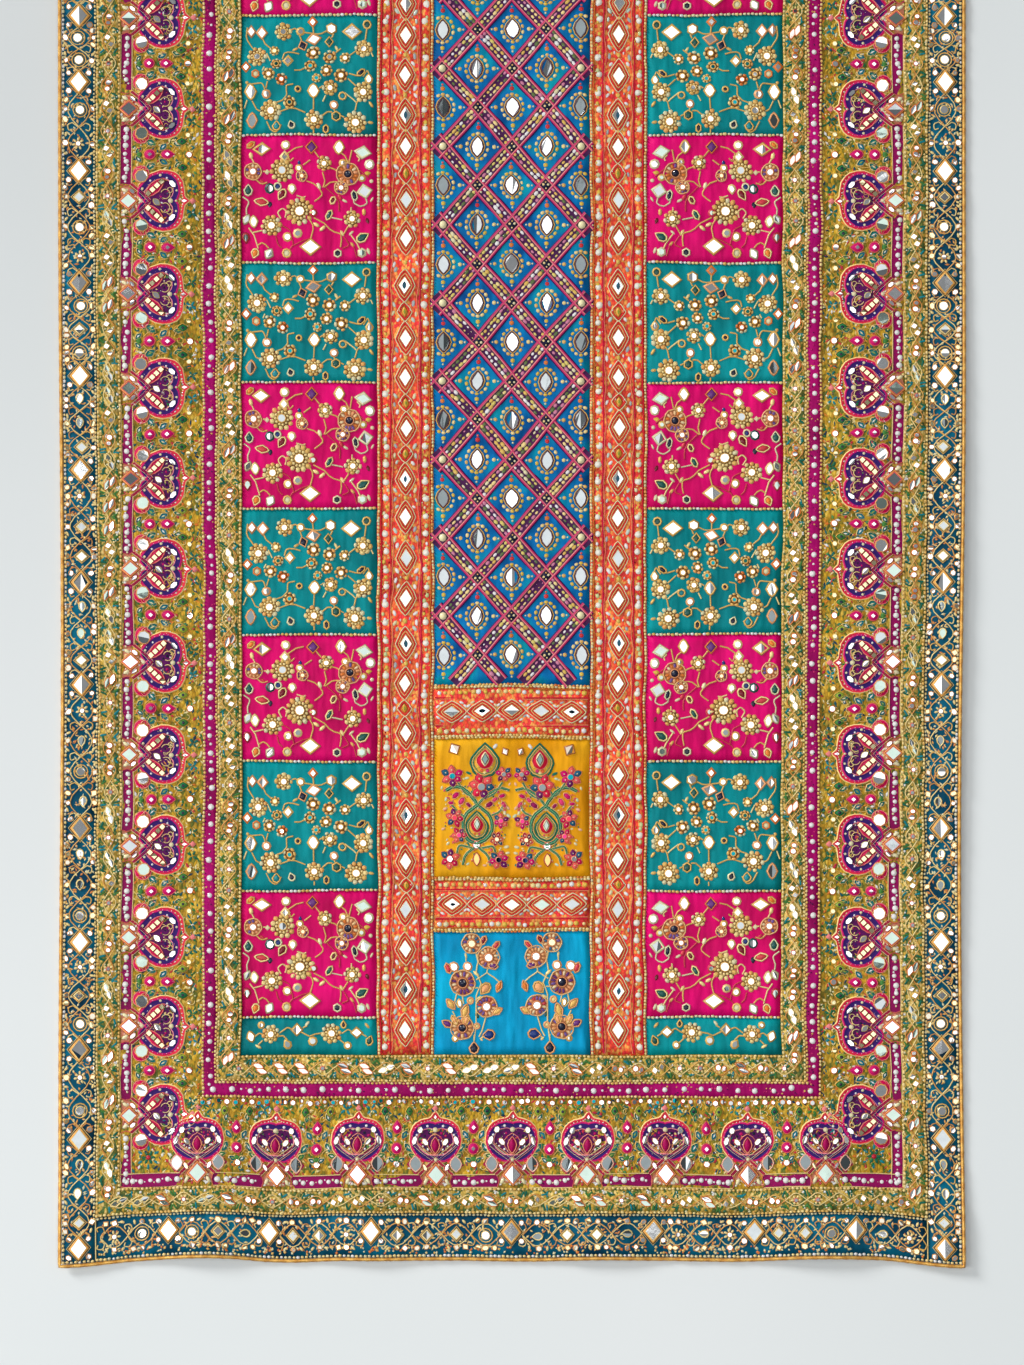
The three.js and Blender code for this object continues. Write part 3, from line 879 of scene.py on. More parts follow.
def lattice():
    """The middle field: mirrors in a lattice of crossed cords, with a knot at each crossing."""
    zone = Zone()
    first, last = LATTICE_NEAR + 30, LENGTH - LATTICE_NEAR - 30
    shown = first + EYE_PITCH * np.arange(9)
    rows = np.concatenate([shown, np.linspace(first + EYE_PITCH * 8, last, 8)[1:]])
    middles = np.concatenate([[rows[0] - 39], (rows[1:] + rows[:-1]) / 2, [rows[-1] + 38]])
    for k, v in enumerate(rows):
        for a in (0, -2 * HALF_CELL, 2 * HALF_CELL):
            lattice_eye(zone, (a, v))
        for side in (-1, 1):
            knot(zone, (HALF_CELL * side, v))
            for end, along in ((middles[k], 1), (middles[k + 1], -1)):
                outer = 2 * HALF_CELL * side
                lattice_edge(zone, (HALF_CELL * side, v), (0, end))
                lattice_edge(zone, (HALF_CELL * side, v), (outer, end))
                lattice_edge(zone, (outer, end), (76.5 * side, end + along * 8), True)
    for k, v in enumerate(middles):
        if LATTICE_NEAR + 6 < v < LENGTH - LATTICE_NEAR - 6:
            knot(zone, (0, v))
            for side in (-1, 1):
                if 0 < k < len(middles) - 1:
                    lattice_eye(zone, (HALF_CELL * side, v))
                beads(zone.beads, [(2 * HALF_CELL * side, v)], 4.2, CREAM, sides=8)
    finish_zone("lattice", zone, CLOTH)


def clipped(start, end, low, high):
    """The part of a line that lies between two limits along the cloth."""
    start, end = np.asarray(start, float), np.asarray(end, float)
    if not (min(start[1], end[1]) < low or max(start[1], end[1]) > high):
        return start, end
    inside, outside = (start, end) if low <= start[1] <= high else (end, start)
    limit = low if outside[1] < low else high
    share = (limit - inside[1]) / (outside[1] - inside[1])
    cut = inside + (outside - inside) * share
    return (inside, cut) if inside is start else (cut, inside)


def lattice_edge(zone, start, end, stub=False):
    """One cord of the lattice, with two rows of beads on it unless it is a stub at the side."""
    start, end = clipped(start, end, LATTICE_NEAR + 2.5, LENGTH - LATTICE_NEAR - 2.5)
    line = end - start
    length = np.linalg.norm(line)
    if length < 6:
        return
    ahead = line / length
    side = np.array([-ahead[1], ahead[0]])
    plum, rose, blush = rgb(74, 26, 76), rgb(206, 52, 108), rgb(246, 158, 140)
    half = [(8.2, 0, rgb(16, 30, 92)), (7.2, 0.5, rgb(66, 12, 76)), (6.6, 1.2, rose), (5.6, 1.3, rose),
            (5.0, 1.2, blush), (4.3, 0.6, plum)]
    rows = half + [(-across, height, tint) for across, height, tint in half[::-1]]
    braid(zone.silk, spaced(start, end, 9), rows)
    if stub:
        return
    a, b = start + ahead * 4.5, end - ahead * 4.5
    heading = math.atan2(ahead[1], ahead[0]) - math.pi / 2
    palette = [CREAM, GOLD_LIGHT, rgb(232, 190, 90), rgb(230, 210, 110), WHITE, rgb(96, 116, 60),
               rgb(214, 130, 160)]
    for offset in (2.1, -2.1):
        at = spaced(a + ahead * 3 + side * offset, b - ahead * 3 + side * offset, 5.4)
        at = jittered(at, 0.35)
        n = len(at)
        size = np.stack([rng.uniform(1.7, 2.3, n), rng.uniform(2.6, 3.8, n)], -1)
        profile = [(1, 0, 0.3), (0.75, 0, 1.3)]
        loft(zone.beads, HEXAGON, at, size, profile, drawn(palette, n), heading, top=1.7)


def knot(zone, at):
    """The crossing of two lattice cords: a dark square with beads."""
    loft(zone.silk, DIAMOND, [at], 5.2, [(1, 0, 0), (0.9, 0, 1.3)], NIGHT, top=1.3)
    at = np.asarray(at) + [(-2.3, rng.uniform(-1, 1)), (2.3, rng.uniform(-1, 1)), (0, 3.2), (0, -3.2)]
    tints = np.array([GOLD_LIGHT, CREAM, GOLD_MAIN, GOLD_LIGHT])
    beads(zone.beads, at, (1.6, 1.6, 1.1, 1.1), tints, base=1.1)


def lattice_eye(zone, at):
    """A pointed mirror in a ring of gold beads, with a bead on each of its four sides."""
    # Painted reflection: the middle mirror is plain glass, the next ones now and then grey, the outer ones
    # grey and smoky, darker by their place.
    central = abs(at[0]) < 1
    if central:
        tint = GLASS
    elif abs(at[0]) < 50:
        tint = picked((GLASS, GLASS, GREY))
    else:
        tint = picked((GREY, DARK_REFLECTION))
    size = (6.4, 9.4) if central else (5.4, 9.2)
    glass(zone, LENS, [at], size, tint=tint, rim=rgb(96, 52, 70), width=1.5)
    loft(zone.gold, LENS, [at], size, [(1, 2.7, 0), (1, 2.1, 1.1), (1, 1.5, 0.2)], GOLD_MAIN)
    count = 14
    t = 2 * np.pi * (np.arange(count) + 0.5) / count
    ring = np.asarray(at) + around(t) * (10.6, 13.0)
    keep = np.abs(ring[:, 0]) < LATTICE_REACH
    tint = drawn([GOLD_LIGHT, YELLOW, GOLD_MAIN], count)
    beads(zone.gold, ring[keep], 1.8, tint[keep], 1.3, t[keep])
    outer = np.asarray(at) + np.array([(0, 19), (0, -18.4), (16.8, 0), (-16.8, 0), (0, 23), (20.6, 0),
                                       (-20.6, 0), (0, -22.4)])
    radii = np.array([2.5, 2.4, 2.2, 2.2, 1.3, 1.2, 1.2, 1.2])
    first = ORANGE if rng.random() < 0.6 else RED
    tints = np.array([first, YELLOW, GOLD_LIGHT, GOLD_MAIN, CORAL, CREAM, CREAM, CREAM])
    keep = np.abs(outer[:, 0]) < LATTICE_REACH
    beads(zone.gold, outer[keep], radii[keep], tints[keep])


# The orange bands' diamond mirrors, as distances from the near hem; the far half mirrors them.
BAND_MIRRORS = [231, 271, 312, 351, 400, 445, 486, 528, 578, 618, 662, 703, 743, 782, 833, 884, 923, 975,
                1023, 1061, 1115, 1146]
BAND_GOLD, BAND_LIGHT, BAND_RED = rgb(255, 210, 134), rgb(255, 240, 190), rgb(244, 50, 48)


def bands():
    """The long orange-red bands: a chain of diamonds with rows of beads and coloured cords beside it."""
    zone = Zone()
    middle = (CENTRE + BAND) / 2
    along = BAND_MIRRORS + [MIDDLE] + [LENGTH - v for v in BAND_MIRRORS[::-1]]
    # Painted reflections: the GREY mirrors are darker, and the NIGHT ones get a dark middle.
    tints = (GLASS, NIGHT, GLASS, GREY, GLASS, NIGHT, GLASS, GLASS)
    cells = [diamond_cell(10.4, 17, (5.4, 8.4), tint) for tint in tints]
    for k, v in enumerate(along):
        zone.paste(cells[k % len(cells)], (middle, v))
        if k:
            gap = v - along[k - 1]
            band_node(zone, (middle, v - gap / 2), gap / 2 - 16.5)
    near, far = E_INNER + 2, LENGTH - E_INNER - 2
    for x in (BAND - 1.6, CENTRE + 1.6):
        bead_line(zone.gold, (x, near), (x, far), 3.3, 1.45, (GOLD_LIGHT, CREAM, rgb(250, 170, 90)))
    y = np.arange(near, far, 4.0)
    for shift, tint, width, wave in (
            (-15.4, rgb(226, 24, 70), 1.6, 0.3), (15.4, rgb(226, 24, 60), 1.6, 0.3),
            (-13.4, rgb(255, 130, 110), 1.1, 1.2), (13.4, rgb(255, 150, 110), 1.1, 1.2),
            (-24.4, ORANGE, 1.0, 0.3), (24.4, rgb(226, 24, 50), 1.6, 0.3)):
        phase = rng.uniform(0, 6)
        x = middle + shift + wave * np.sin(y * 2 * np.pi / 41 + phase)
        cord(zone.silk, np.stack([x, y], -1), width, 1.0, tint)
    pitch, count = 17.6, 520
    for x in (middle - 20, middle + 20):
        at = jittered(spaced((x, near + 6), (x, far - 6), pitch), 0.7)
        radii = rng.uniform(2.9, 3.6, len(at))
        beads(zone.beads, at, radii, rgb(252, 248, 232), sides=8, tall=0.5)
        for shift in (6.2, 11.4):
            at = jittered(spaced((x, near + 6 + shift), (x, far - pitch + shift), pitch), 1.0)
            tint = drawn([CREAM, YELLOW, WHITE, rgb(210, 220, 150)], len(at))
            beads(zone.beads, at, rng.uniform(1.3, 2.2, len(at)), tint, 1.3, tall=0.6)
        at = np.stack([x + rng.uniform(-4, 4, count), rng.uniform(near, far, count)], -1)
        scraps = (ORANGE, YELLOW, rgb(170, 20, 30), GOLD_LIGHT, rgb(240, 110, 50), CREAM)
        chips(zone.silk, at, 0.6, 1.5, scraps)
    zone.mirrored(across=True)
    finish_zone("bands", zone, CLOTH)


def cross_bands():
    """The short orange-red bands across the middle: five diamonds each, with seeds and bead rows."""
    zone = Zone()
    pitch = 29.8
    # Painted reflections: grey and sea mirrors are darker than glass, and NIGHT ones get a dark middle.
    for start, shades in ((E_INNER + AZURE, (NIGHT, GREY, GLASS, SEA, GREY)),
                          (E_INNER + AZURE + CROSS + MARIGOLD, (GREY, NIGHT, GLASS, GREY, NIGHT))):
        middle = start + CROSS / 2
        for k, shade in enumerate(shades):
            x = pitch * (k - 2)
            zone.paste(diamond_cell(11.2, 14.6, (5.2, 7.4), shade), (x, middle), math.pi / 2)
            for side in (-1, 1):
                near, far = x + 9.5 * side, x + 13.4 * side
                spots = np.array([(near, middle + 9.2), (near, middle - 9.2),
                                  (far, middle + 5.6), (far, middle - 5.6)])
                tint = drawn([WHITE, CREAM, WHITE, GREY], 4)
                turn = np.array([1.1, -1.1, 0.9, -0.9]) * side
                loft(zone.beads, SEED, spots, (1.4, 2.6), STONE, tint, turn, top=1.2)
        for side in (-1, 1):
            row = jittered(spaced((-72, middle + 19.4 * side), (72, middle + 19.4 * side), 6.6), 0.5)
            tint = drawn([WHITE, CREAM, GOLD_LIGHT, rgb(240, 190, 90), YELLOW], len(row))
            beads(zone.beads, row, rng.uniform(1.8, 2.9, len(row)), tint, tall=0.6)
            seam = middle + 24.9 * side
            bead_line(zone.gold, (-76, seam), (76, seam), 3.5, 1.6, (GOLD_LIGHT, CREAM, GOLD_MAIN))
            for shift, tint, width in ((14.6, rgb(226, 24, 60), 1.5), (13.1, rgb(255, 150, 110), 1.0),
                                       (23.4, ORANGE, 1.0)):
                along = middle + shift * side
                cord(zone.silk, [(-76, along), (76, along)], width, 0.9, tint)
    zone.mirrored(along=True)
    finish_zone("cross_bands", zone, CLOTH)


# Letters for the tints of the charts below, and which of them are mirrors.
TINTS = {
    "w": GLASS, "g": GREY, "s": DARK_REFLECTION, "e": SEA, "n": NIGHT, "c": CREAM, "o": GOLD_MAIN, "l": GOLD_LIGHT,
    "a": ORANGE, "q": AQUA, "y": YELLOW, "b": rgb(18, 50, 120),
    "d": rgb(24, 84, 76), "r": rgb(120, 10, 30), "x": rgb(214, 60, 70), "p": rgb(104, 40, 120),
    "f": rgb(244, 172, 110), "u": rgb(40, 110, 150),
}
OUTLINES = {
    "diamond": DIAMOND, "lens": pointed(8), "drop": dropped(8), "round": OCTAGON, "hex": HEXAGON,
    "seed": SEED,
}
REFLECTIVE = "wgse"


def charted(table, stems, stem_width=1.6):
    """A motif from a chart of its shapes and a list of its stems."""
    motif = Zone()
    for shape, x, y, half_width, half_length, degrees, tint, *rim in table:
        at, size, turn, colour = [(x, y)], (half_width, half_length), math.radians(degrees), TINTS[tint]
        edge = TINTS[rim[0]] if rim else GOLD_MAIN
        if shape == "rosette":
            rosette(motif, at[0], half_width, colour, edge)
        elif shape == "mosaic":
            mosaic_flower(motif, at[0], half_width, colour, edge)
        elif tint in REFLECTIVE:
            glass(motif, OUTLINES[shape], at, (0.9 * half_width, 0.9 * half_length), turn, colour, edge, 2.1)
        else:
            heap = motif.beads if tint in "cnbdrp" else motif.gold
            base = 1.6 if shape == "round" and half_width > 4 else 0
            outline = OUTLINES[shape]
            loft(heap, outline, at, size, [(1, 0, 0), (0.7, 0, 1.0)], colour, turn, top=1.4, base=base)
            if rim:
                profile = [(1, 1.5, 0), (1, 0.7, 1.3), (1, -0.3, 0.6)]
                loft(motif.gold, outline, at, size, profile, edge, turn)
    for path, tint in stems:
        cord(motif.gold, curve(path, 4), stem_width, 1.0, TINTS[tint])
    return motif


# Charts of the patches' sprays: shape, across, along, half width, half length, turn, tint and rim.
PINK_SPRAY = [
    ("mosaic", -56, 27, 8.6, 0, 0, "w", "f"), ("rosette", -27, 28, 12, 0, 0, "g"),
    ("rosette", -10, -12.5, 14, 0, 0, "w"), ("rosette", -37, -27, 10.5, 0, 0, "w"),
    ("mosaic", 40, 25, 11.5, 0, 0, "n", "a"), ("diamond", -47.5, 49.5, 8, 5.4, 0, "w", "o"),
    ("diamond", 3, 51, 5.4, 6, 0, "p", "a"), ("lens", 30.5, 51.5, 4.6, 6.4, 0, "w", "o"),
    ("diamond", 54, 47, 7.4, 5.2, -8, "e", "c"), ("diamond", 1, -47.5, 9.4, 7.2, 0, "w", "o"),
    ("diamond", 56, 7.5, 6.4, 6.4, 10, "g", "c"), ("rosette", 43, -20.5, 8.6, 0, 0, "w"),
    ("lens", -47.5, -3.2, 3.4, 6.6, 80, "x", "l"), ("round", -23.7, 53, 3.2, 3.2, 0, "w", "l"),
    ("rosette", 16.2, 35, 7.6, 0, 0, "w"), ("round", -9.8, 30, 2.2, 2.2, 0, "w"),
    ("drop", -9.4, 35.5, 1.9, 2.4, 0, "b"), ("mosaic", -7, 22.4, 5.6, 0, 0, "c", "p"),
    ("diamond", -24.5, 41.5, 3.2, 4, 0, "w", "l"), ("mosaic", 33, 11, 6.8, 0, 0, "w", "p"),
    ("round", -39.5, 10, 3.6, 3.8, 0, "w", "d"), ("drop", -60.7, 8.5, 3.6, 5, 0, "d", "c"),
    ("round", -31.7, 12, 2.9, 3, 0, "b", "c"), ("drop", -17.4, 9.4, 2.8, 3.8, 180, "w", "l"),
    ("drop", -27.7, 4, 3.2, 5.4, 150, "r", "l"), ("drop", -39.3, -6.3, 2.6, 3.4, 180, "n"),
    ("lens", -54.5, -23.2, 3.3, 5.4, 5, "w", "l"), ("lens", -61.6, -21, 2.6, 4.4, -25, "g", "c"),
    ("drop", -62.5, -39.7, 3, 4.4, 180, "e", "x"), ("round", -21.4, -38, 3.1, 3.3, 0, "w"),
    ("round", -11.6, -34.4, 3, 3, 0, "s", "l"), ("round", -22.3, -54, 3.4, 3.6, 0, "c", "o"),
    ("lens", -39.7, -55, 3.4, 4.8, -30, "w", "c"), ("drop", -54, -55, 3.2, 4.4, 160, "a", "l"),
    ("hex", 28.1, -54, 3.3, 3.3, 0, "n", "c"), ("hex", 53, -54, 3.4, 3.4, 0, "e", "c"),
    ("seed", 59.5, -52.5, 1.8, 3.6, 20, "c"), ("drop", 53.6, -38.8, 3.8, 6.2, -60, "d", "l"),
    ("round", 3.6, -14.3, 2.7, 2.7, 0, "e", "x"), ("seed", 19.6, -16.5, 2.6, 5, -30, "d", "l"),
    ("seed", 24, -1.8, 2.4, 3.6, -30, "r", "l"), ("seed", 31.5, 1, 2.2, 3.8, 30, "x"),
    ("seed", 35.8, -2.2, 1.6, 3.4, 60, "c"), ("seed", 46, 3, 2.6, 4.8, 10, "n", "c"),
    ("seed", 10.3, 12.5, 2.4, 3.8, 20, "c"), ("diamond", -42, 26.3, 2.8, 2.8, 0, "c"),
    ("seed", -58, 43, 2.4, 3.8, 10, "l"), ("seed", -58.5, 54, 2.6, 4, -50, "a", "o"),
    ("round", 60.5, 35, 3.4, 3.8, 0, "w", "c"), ("drop", 59, 26, 2.4, 3.4, -80, "y"),
    ("round", 53.6, 21, 2.2, 2.2, 0, "e"), ("round", 62.6, 18, 2, 2, 0, "c"),
    ("round", 35, 36, 2.4, 2.4, 0, "w"), ("seed", 55, -13.8, 2.2, 3.8, 0, "o"),
    ("drop", 58.5, -22.8, 2, 3.4, 200, "r"), ("seed", 6.7, -26, 2.2, 4, 60, "l"),
    ("seed", 12.9, -29.5, 2.2, 4.4, -50, "l"), ("seed", 32.6, -34.4, 1.9, 3.6, 30, "l"),
    ("seed", 42, -34.4, 1.5, 3.4, -50, "c"), ("seed", 43.3, -46, 1.6, 3.4, 40, "o"),
    ("seed", 63, -1, 1.2, 3, -30, "c"), ("seed", -47, 17, 1.6, 3.4, 50, "x"),
]
PINK_STEMS = [
    ([(5.8, 47.3), (8, 44), (11, 41)], "o"), ([(-6, 51.5), (-12, 50.5), (-18, 47), (-25, 42)], "o"),
    ([(22, 31), (26, 30), (29.5, 27.5)], "o"), ([(14.7, 26.5), (16.8, 18), (14.7, 11.2)], "o"),
    ([(-2.2, 17.4), (4.9, 15), (11.2, 9.4), (12.9, 3.1), (5, -3)], "o"),
    ([(15.6, 11.2), (22, 16.2), (29, 17)], "o"),
    ([(17.4, 11.2), (25.4, 4), (29.9, -3.1), (29.9, -13)], "x"),
    ([(-66, 2), (-60, -3), (-62, -10), (-61.5, -16)], "c"),
    ([(-59.4, -29.5), (-55, -35), (-52.5, -42), (-50.4, -50)], "l"),
    ([(-55.8, -34.4), (-50, -33), (-46, -32)], "l"),
    ([(-51, -47), (-47, -44.5), (-43, -46), (-40, -49.5)], "o"),
    ([(-28, -20), (-31, -14), (-27, -10), (-23, -13), (-24, -19)], "l"),
    ([(-27, -27), (-19, -32), (-15.6, -46)], "x"), ([(-32.6, -38), (-31, -45), (-27, -49)], "x"),
    ([(-19, -50), (-15.6, -46), (-5, -41), (0.4, -39.5)], "x"),
    ([(1.3, -39.5), (3.5, -32), (3.1, -26), (0, -21)], "o"),
    ([(4, -19), (14.7, -24.6), (22, -32), (31.7, -36), (31, -48)], "o"),
    ([(22, -19), (28, -20), (33, -21.4)], "c"), ([(42.4, -9), (42.2, -14)], "l"),
    ([(34, -36), (37, -31), (39, -28)], "o"), ([(33, -49.5), (39.5, -46), (35, -38)], "x"),
    ([(41.5, -36), (47, -43), (51, -51)], "l"), ([(44, -46), (47.8, -58.5)], "x"),
    ([(33, 46), (37, 43), (40, 36.5)], "o"), ([(43.3, 49), (42, 44), (41, 37)], "o"),
    ([(48, 44), (51, 41), (50, 38)], "l"), ([(45, -1), (46, -5), (52, -8), (58, -5), (57, 1)], "c"),
    ([(-53, 19), (-48, 14.7), (-42, 16)], "o"), ([(-57, 40), (-55, 36)], "l"),
    ([(-46, 27), (-40, 26.5)], "l"), ([(-15, 40), (-19, 37), (-21, 45)], "o"),
    ([(-5, 33), (-1, 36), (2, 38)], "o"), ([(50, 30), (54, 27), (60, 22)], "x"),
    ([(-13, 3), (-7, 1), (-4, 2)], "l"),
]
TEAL_SPRAY = [
    ("rosette", -26, 44, 8.8, 0, 0, "w"), ("rosette", -51.5, 18.7, 10, 0, 0, "w"),
    ("rosette", -39.6, 0.5, 6.4, 0, 0, "w"), ("rosette", -26.7, -5, 6, 0, 0, "w", "a"),
    ("rosette", -34.5, 24.6, 5, 0, 0, "c"), ("rosette", -32, 11, 5.4, 0, 0, "d"),
    ("rosette", 3.8, 22, 7, 0, 0, "w"), ("rosette", 20, 17.5, 6.8, 0, 0, "w"),
    ("rosette", 1.5, 8.4, 6, 0, 0, "q"), ("rosette", 17.4, 4, 6, 0, 0, "w"),
    ("rosette", 32, -1, 7, 0, 0, "w"), ("rosette", 21.4, -13.4, 7.6, 0, 0, "w"),
    ("rosette", 35.5, 16.5, 5.4, 0, 0, "w"), ("rosette", 8, -4, 4.6, 0, 0, "q"),
    ("rosette", 54, 26, 8.8, 0, 0, "w"), ("rosette", 54.3, -17, 9.8, 0, 0, "w"),
    ("rosette", 46, -47, 11.4, 0, 0, "w"), ("rosette", -39.6, -35.7, 10.6, 0, 0, "w"),
    ("rosette", 4.5, -45, 9.6, 0, 0, "w"), ("rosette", -19.7, -28, 6.6, 0, 0, "q"),
    ("diamond", 42.6, 43, 8.8, 6.8, 0, "w", "o"), ("diamond", 4, 36, 6.6, 5, 10, "w", "f"),
    ("hex", 22, 46, 4.6, 4.6, 0, "w", "o"), ("round", 57.8, 50, 3.2, 3.4, 0, "d", "o"),
    ("lens", 5, -16.6, 5.2, 6.6, 0, "w", "o"), ("lens", -59, -17, 5.4, 7.6, 0, "w", "o"),
    ("round", -43, -19.6, 3.2, 3.2, 0, "w", "f"), ("lens", -58.4, -45, 4.6, 7.4, 0, "s", "f"),
    ("diamond", -47.4, 43, 4.4, 5.4, 0, "w", "f"), ("diamond", -58, 44, 3.4, 4.6, 0, "w", "f"),
    ("round", -9, 44, 2.8, 2.8, 0, "w", "o"), ("diamond", -6.7, 29.6, 4, 4.8, 20, "n", "f"),
    ("diamond", 19.4, 33, 3.6, 4.6, 0, "d", "o"), ("diamond", 3.4, 53, 3, 3.6, 0, "w", "a"),
    ("diamond", -62.6, 8, 3.2, 3.8, 0, "w", "a"), ("hex", -53, 1, 3.2, 3.4, 0, "c", "a"),
    ("diamond", -20.6, 14, 3.6, 4.2, 0, "w", "o"), ("round", -10.4, -15, 2.2, 2.2, 0, "n", "o"),
    ("round", 25, -30, 2.8, 3, 0, "w", "f"), ("hex", 27, -41, 4, 4.2, 0, "d", "o"),
    ("drop", -18.5, -50, 2.8, 3.4, 20, "n", "c"), ("drop", -33.8, -51, 3.6, 4.2, 0, "q", "o"),
    ("seed", 16.7, -54, 2.4, 3.6, 0, "n", "o"), ("seed", 52, 2, 2.4, 4.4, -50, "n", "o"),
    ("drop", 60, -4, 2.6, 4, 0, "w", "o"), ("round", 33.6, -21, 3, 3, 0, "q", "o"),
    ("seed", 61, -47, 1.8, 3, 80, "o"), ("seed", 62, -29, 1.8, 4, 35, "o"),
    ("seed", -14, 26, 1.6, 3.4, -60, "o"), ("seed", 27, 26, 1.6, 3.6, 30, "l"),
    ("round", -62, -8, 1.7, 1.7, 0, "o"),
]
TEAL_STEMS = [
    ([(-18, 46), (-14, 47), (-11, 44)], "o"), ([(-6, 43), (2, 42), (10, 41), (17, 44)], "o"),
    ([(4, 42), (3.5, 49)], "o"), ([(-10, 40), (-8, 35)], "o"), ([(24, 41), (22, 37)], "o"),
    ([(-62, 48), (-63, 39), (-60, 32), (-56, 27)], "o"), ([(-47, 38), (-44, 32), (-38, 27)], "o"),
    ([(-42, 22), (-38, 14)], "l"), ([(-44, 8), (-46, 4)], "l"),
    ([(-26, 16), (-24, 22), (-18, 23), (-10, 21)], "o"), ([(-14, 4), (-8, 4), (-4, 6)], "o"),
    ([(-41, -7), (-43, -14)], "o"), ([(-62, -10), (-52, -9), (-46, -10), (-42, -24)], "o"),
    ([(-58, -26), (-54, -34), (-50, -36)], "o"), ([(-63, -25), (-66, -33)], "l"),
    ([(-33, -28), (-27, -26), (-22, -20), (-22, -12), (-15, -10)], "o"),
    ([(-30, -37), (-22, -34), (-14, -34), (-4, -38)], "o"),
    ([(-44, -46), (-40, -54), (-34, -57), (-29, -50)], "o"), ([(5, -24), (5, -30), (4.5, -35)], "o"),
    ([(4.5, -55), (4.5, -59)], "o"), ([(13, -41), (18, -37), (23, -37)], "o"),
    ([(31, -40), (35, -42)], "o"), ([(25, -34), (26, -37)], "o"),
    ([(46, -35), (47, -29), (50, -24)], "o"), ([(39, -4), (44, -8), (47, -11)], "o"),
    ([(36, -18), (42, -22), (47, -27)], "l"), ([(40, 1), (47, -1), (50, 0)], "o"),
    ([(54, -2), (58, 4), (60, 1)], "o"), ([(40, 19), (44, 22), (47, 24)], "o"),
    ([(56, 35), (57, 42), (57.5, 46)], "o"), ([(62, 22), (64, 18)], "l"), ([(26, 22), (31, 26)], "o"),
    ([(17, -21), (14, -27)], "l"), ([(14, -12), (11, -14)], "o"),
]
GARLAND = [
    ("rosette", -38, 2, 9, 0, 0, "w"), ("rosette", 22, 3, 10, 0, 0, "w"),
    ("lens", -58, 0, 3.4, 5, 20, "w", "o"), ("diamond", -12, 6, 4.4, 4.8, 0, "w", "o"),
    ("drop", -21, -8, 2.8, 4, 30, "s", "o"), ("round", 4, -5, 3.2, 3.2, 0, "g", "o"),
    ("diamond", 47, 4, 5, 4.2, 0, "w", "o"), ("drop", 60, -4, 3, 4.4, -20, "d", "o"),
    ("round", 38, -9, 2.4, 2.4, 0, "w"), ("seed", -50, -10, 1.8, 4, 60, "l"),
    ("seed", -2, 12, 1.6, 3.4, -40, "c"), ("seed", 58, 11, 1.7, 3.6, 40, "o"),
    ("round", -48, 11, 2, 2, 0, "w"), ("drop", 34, 12, 2, 3, 0, "n", "o"),
]
GARLAND_STEMS = [
    ([(-54, 0), (-50, 3), (-46, 2)], "o"), ([(-29, 3), (-22, 8), (-16, 6)], "o"),
    ([(-21, -4), (-25, 0), (-30, 0)], "o"), ([(-8, 4), (0, 0), (6, 2), (12, 3)], "o"),
    ([(32, 3), (38, 7), (42, 5)], "o"), ([(52, 3), (57, 0)], "o"), ([(30, -3), (35, -7)], "o"),
    ([(-50, -8), (-46, -4)], "o"), ([(-2, 10), (-6, 8)], "o"),
]


def diamond_path(half_width, half_length):
    """A diamond with softened corners, as a closed path."""
    t = 2 * np.pi * np.arange(20) / 20
    p = around(t)
    return np.sign(p) * (half_width, half_length) * np.abs(p) ** 1.6


def diamond_cell(half_width, half_length, mirror, tint):
    """A diamond of an orange band: doubled cords round a mirror, with its long way along y. A NIGHT tint lays
    a dark lens in the mirror's middle as painted reflection.
    """
    motif = Zone()
    widest = 5.6
    for grow, colour, width in ((widest, BAND_LIGHT, 1.2), (4.2, BAND_RED, 1.7), (2.7, BAND_GOLD, 1.2),
                                (1.5, BAND_RED, 1.0)):
        path = diamond_path(half_width - widest + grow, half_length - (widest - grow) * 1.55)
        cord(motif.silk, path, width, 1.2, colour, closed=True)
    # Painted reflection: a NIGHT cell gets a plain mirror with a darker lens in its middle.
    dark = tint is NIGHT
    glass(motif, DIAMOND, [(0, 0)], mirror, tint=GLASS if dark else tint, rim=BAND_LIGHT, width=0.8)
    if dark:
        painted_dark_reflection = (mirror[0] * 0.4, mirror[1] * 0.5)
        loft(motif.mirrors, LENS, [(0, 0)], painted_dark_reflection, [(1, 0, 0.6), (0.8, 0, 1.3)], rgb(40, 70, 84), top=1.4)
    return motif


def band_node(zone, at, reach):
    """What fills a band between two diamonds: a gold bud or bead, and pale drops on both sides."""
    if reach > 7.5:
        cord(zone.silk, diamond_path(7.6, reach) + at, 1.2, 1.1, BAND_LIGHT, closed=True)
        cord(zone.silk, diamond_path(6.0, reach - 2) + at, 1.6, 1.1, BAND_RED, closed=True)
        profile = [(1, 0, 0), (0.7, 0, 1.1)]
        loft(zone.gold, LENS, [at], (3.2, reach * 0.62), profile, rgb(222, 160, 50), top=1.4)
        loft(zone.silk, LENS, [at], (1.3, reach * 0.3), [(1, 0, 1.1), (0.7, 0, 1.7)], SPRING, top=1.9)
    else:
        beads(zone.gold, [at], 2.2, rgb(240, 200, 90), 1.2)
    for side in (-1, 1):
        around_it = [(9.6 * side, 7.4), (10.8 * side, -1.4), (8.2 * side, -8.4), (5.4 * side, 2.0)]
        spots = jittered(np.array(at) + np.array(around_it), 0.6)
        size = np.array([(1.8, 3.2), (1.6, 3.0), (1.8, 2.8), (0.9, 1.6)]) * rng.uniform(0.85, 1.2, (4, 1))
        turn = np.array([-0.5, 0.3, 0.6, 0.0]) * side + rng.normal(0, 0.2, 4)
        tint = drawn([WHITE, CREAM, WHITE, rgb(206, 222, 206), GREY], 4)
        loft(zone.beads, SEED, spots, size, STONE, tint, turn, top=1.2)


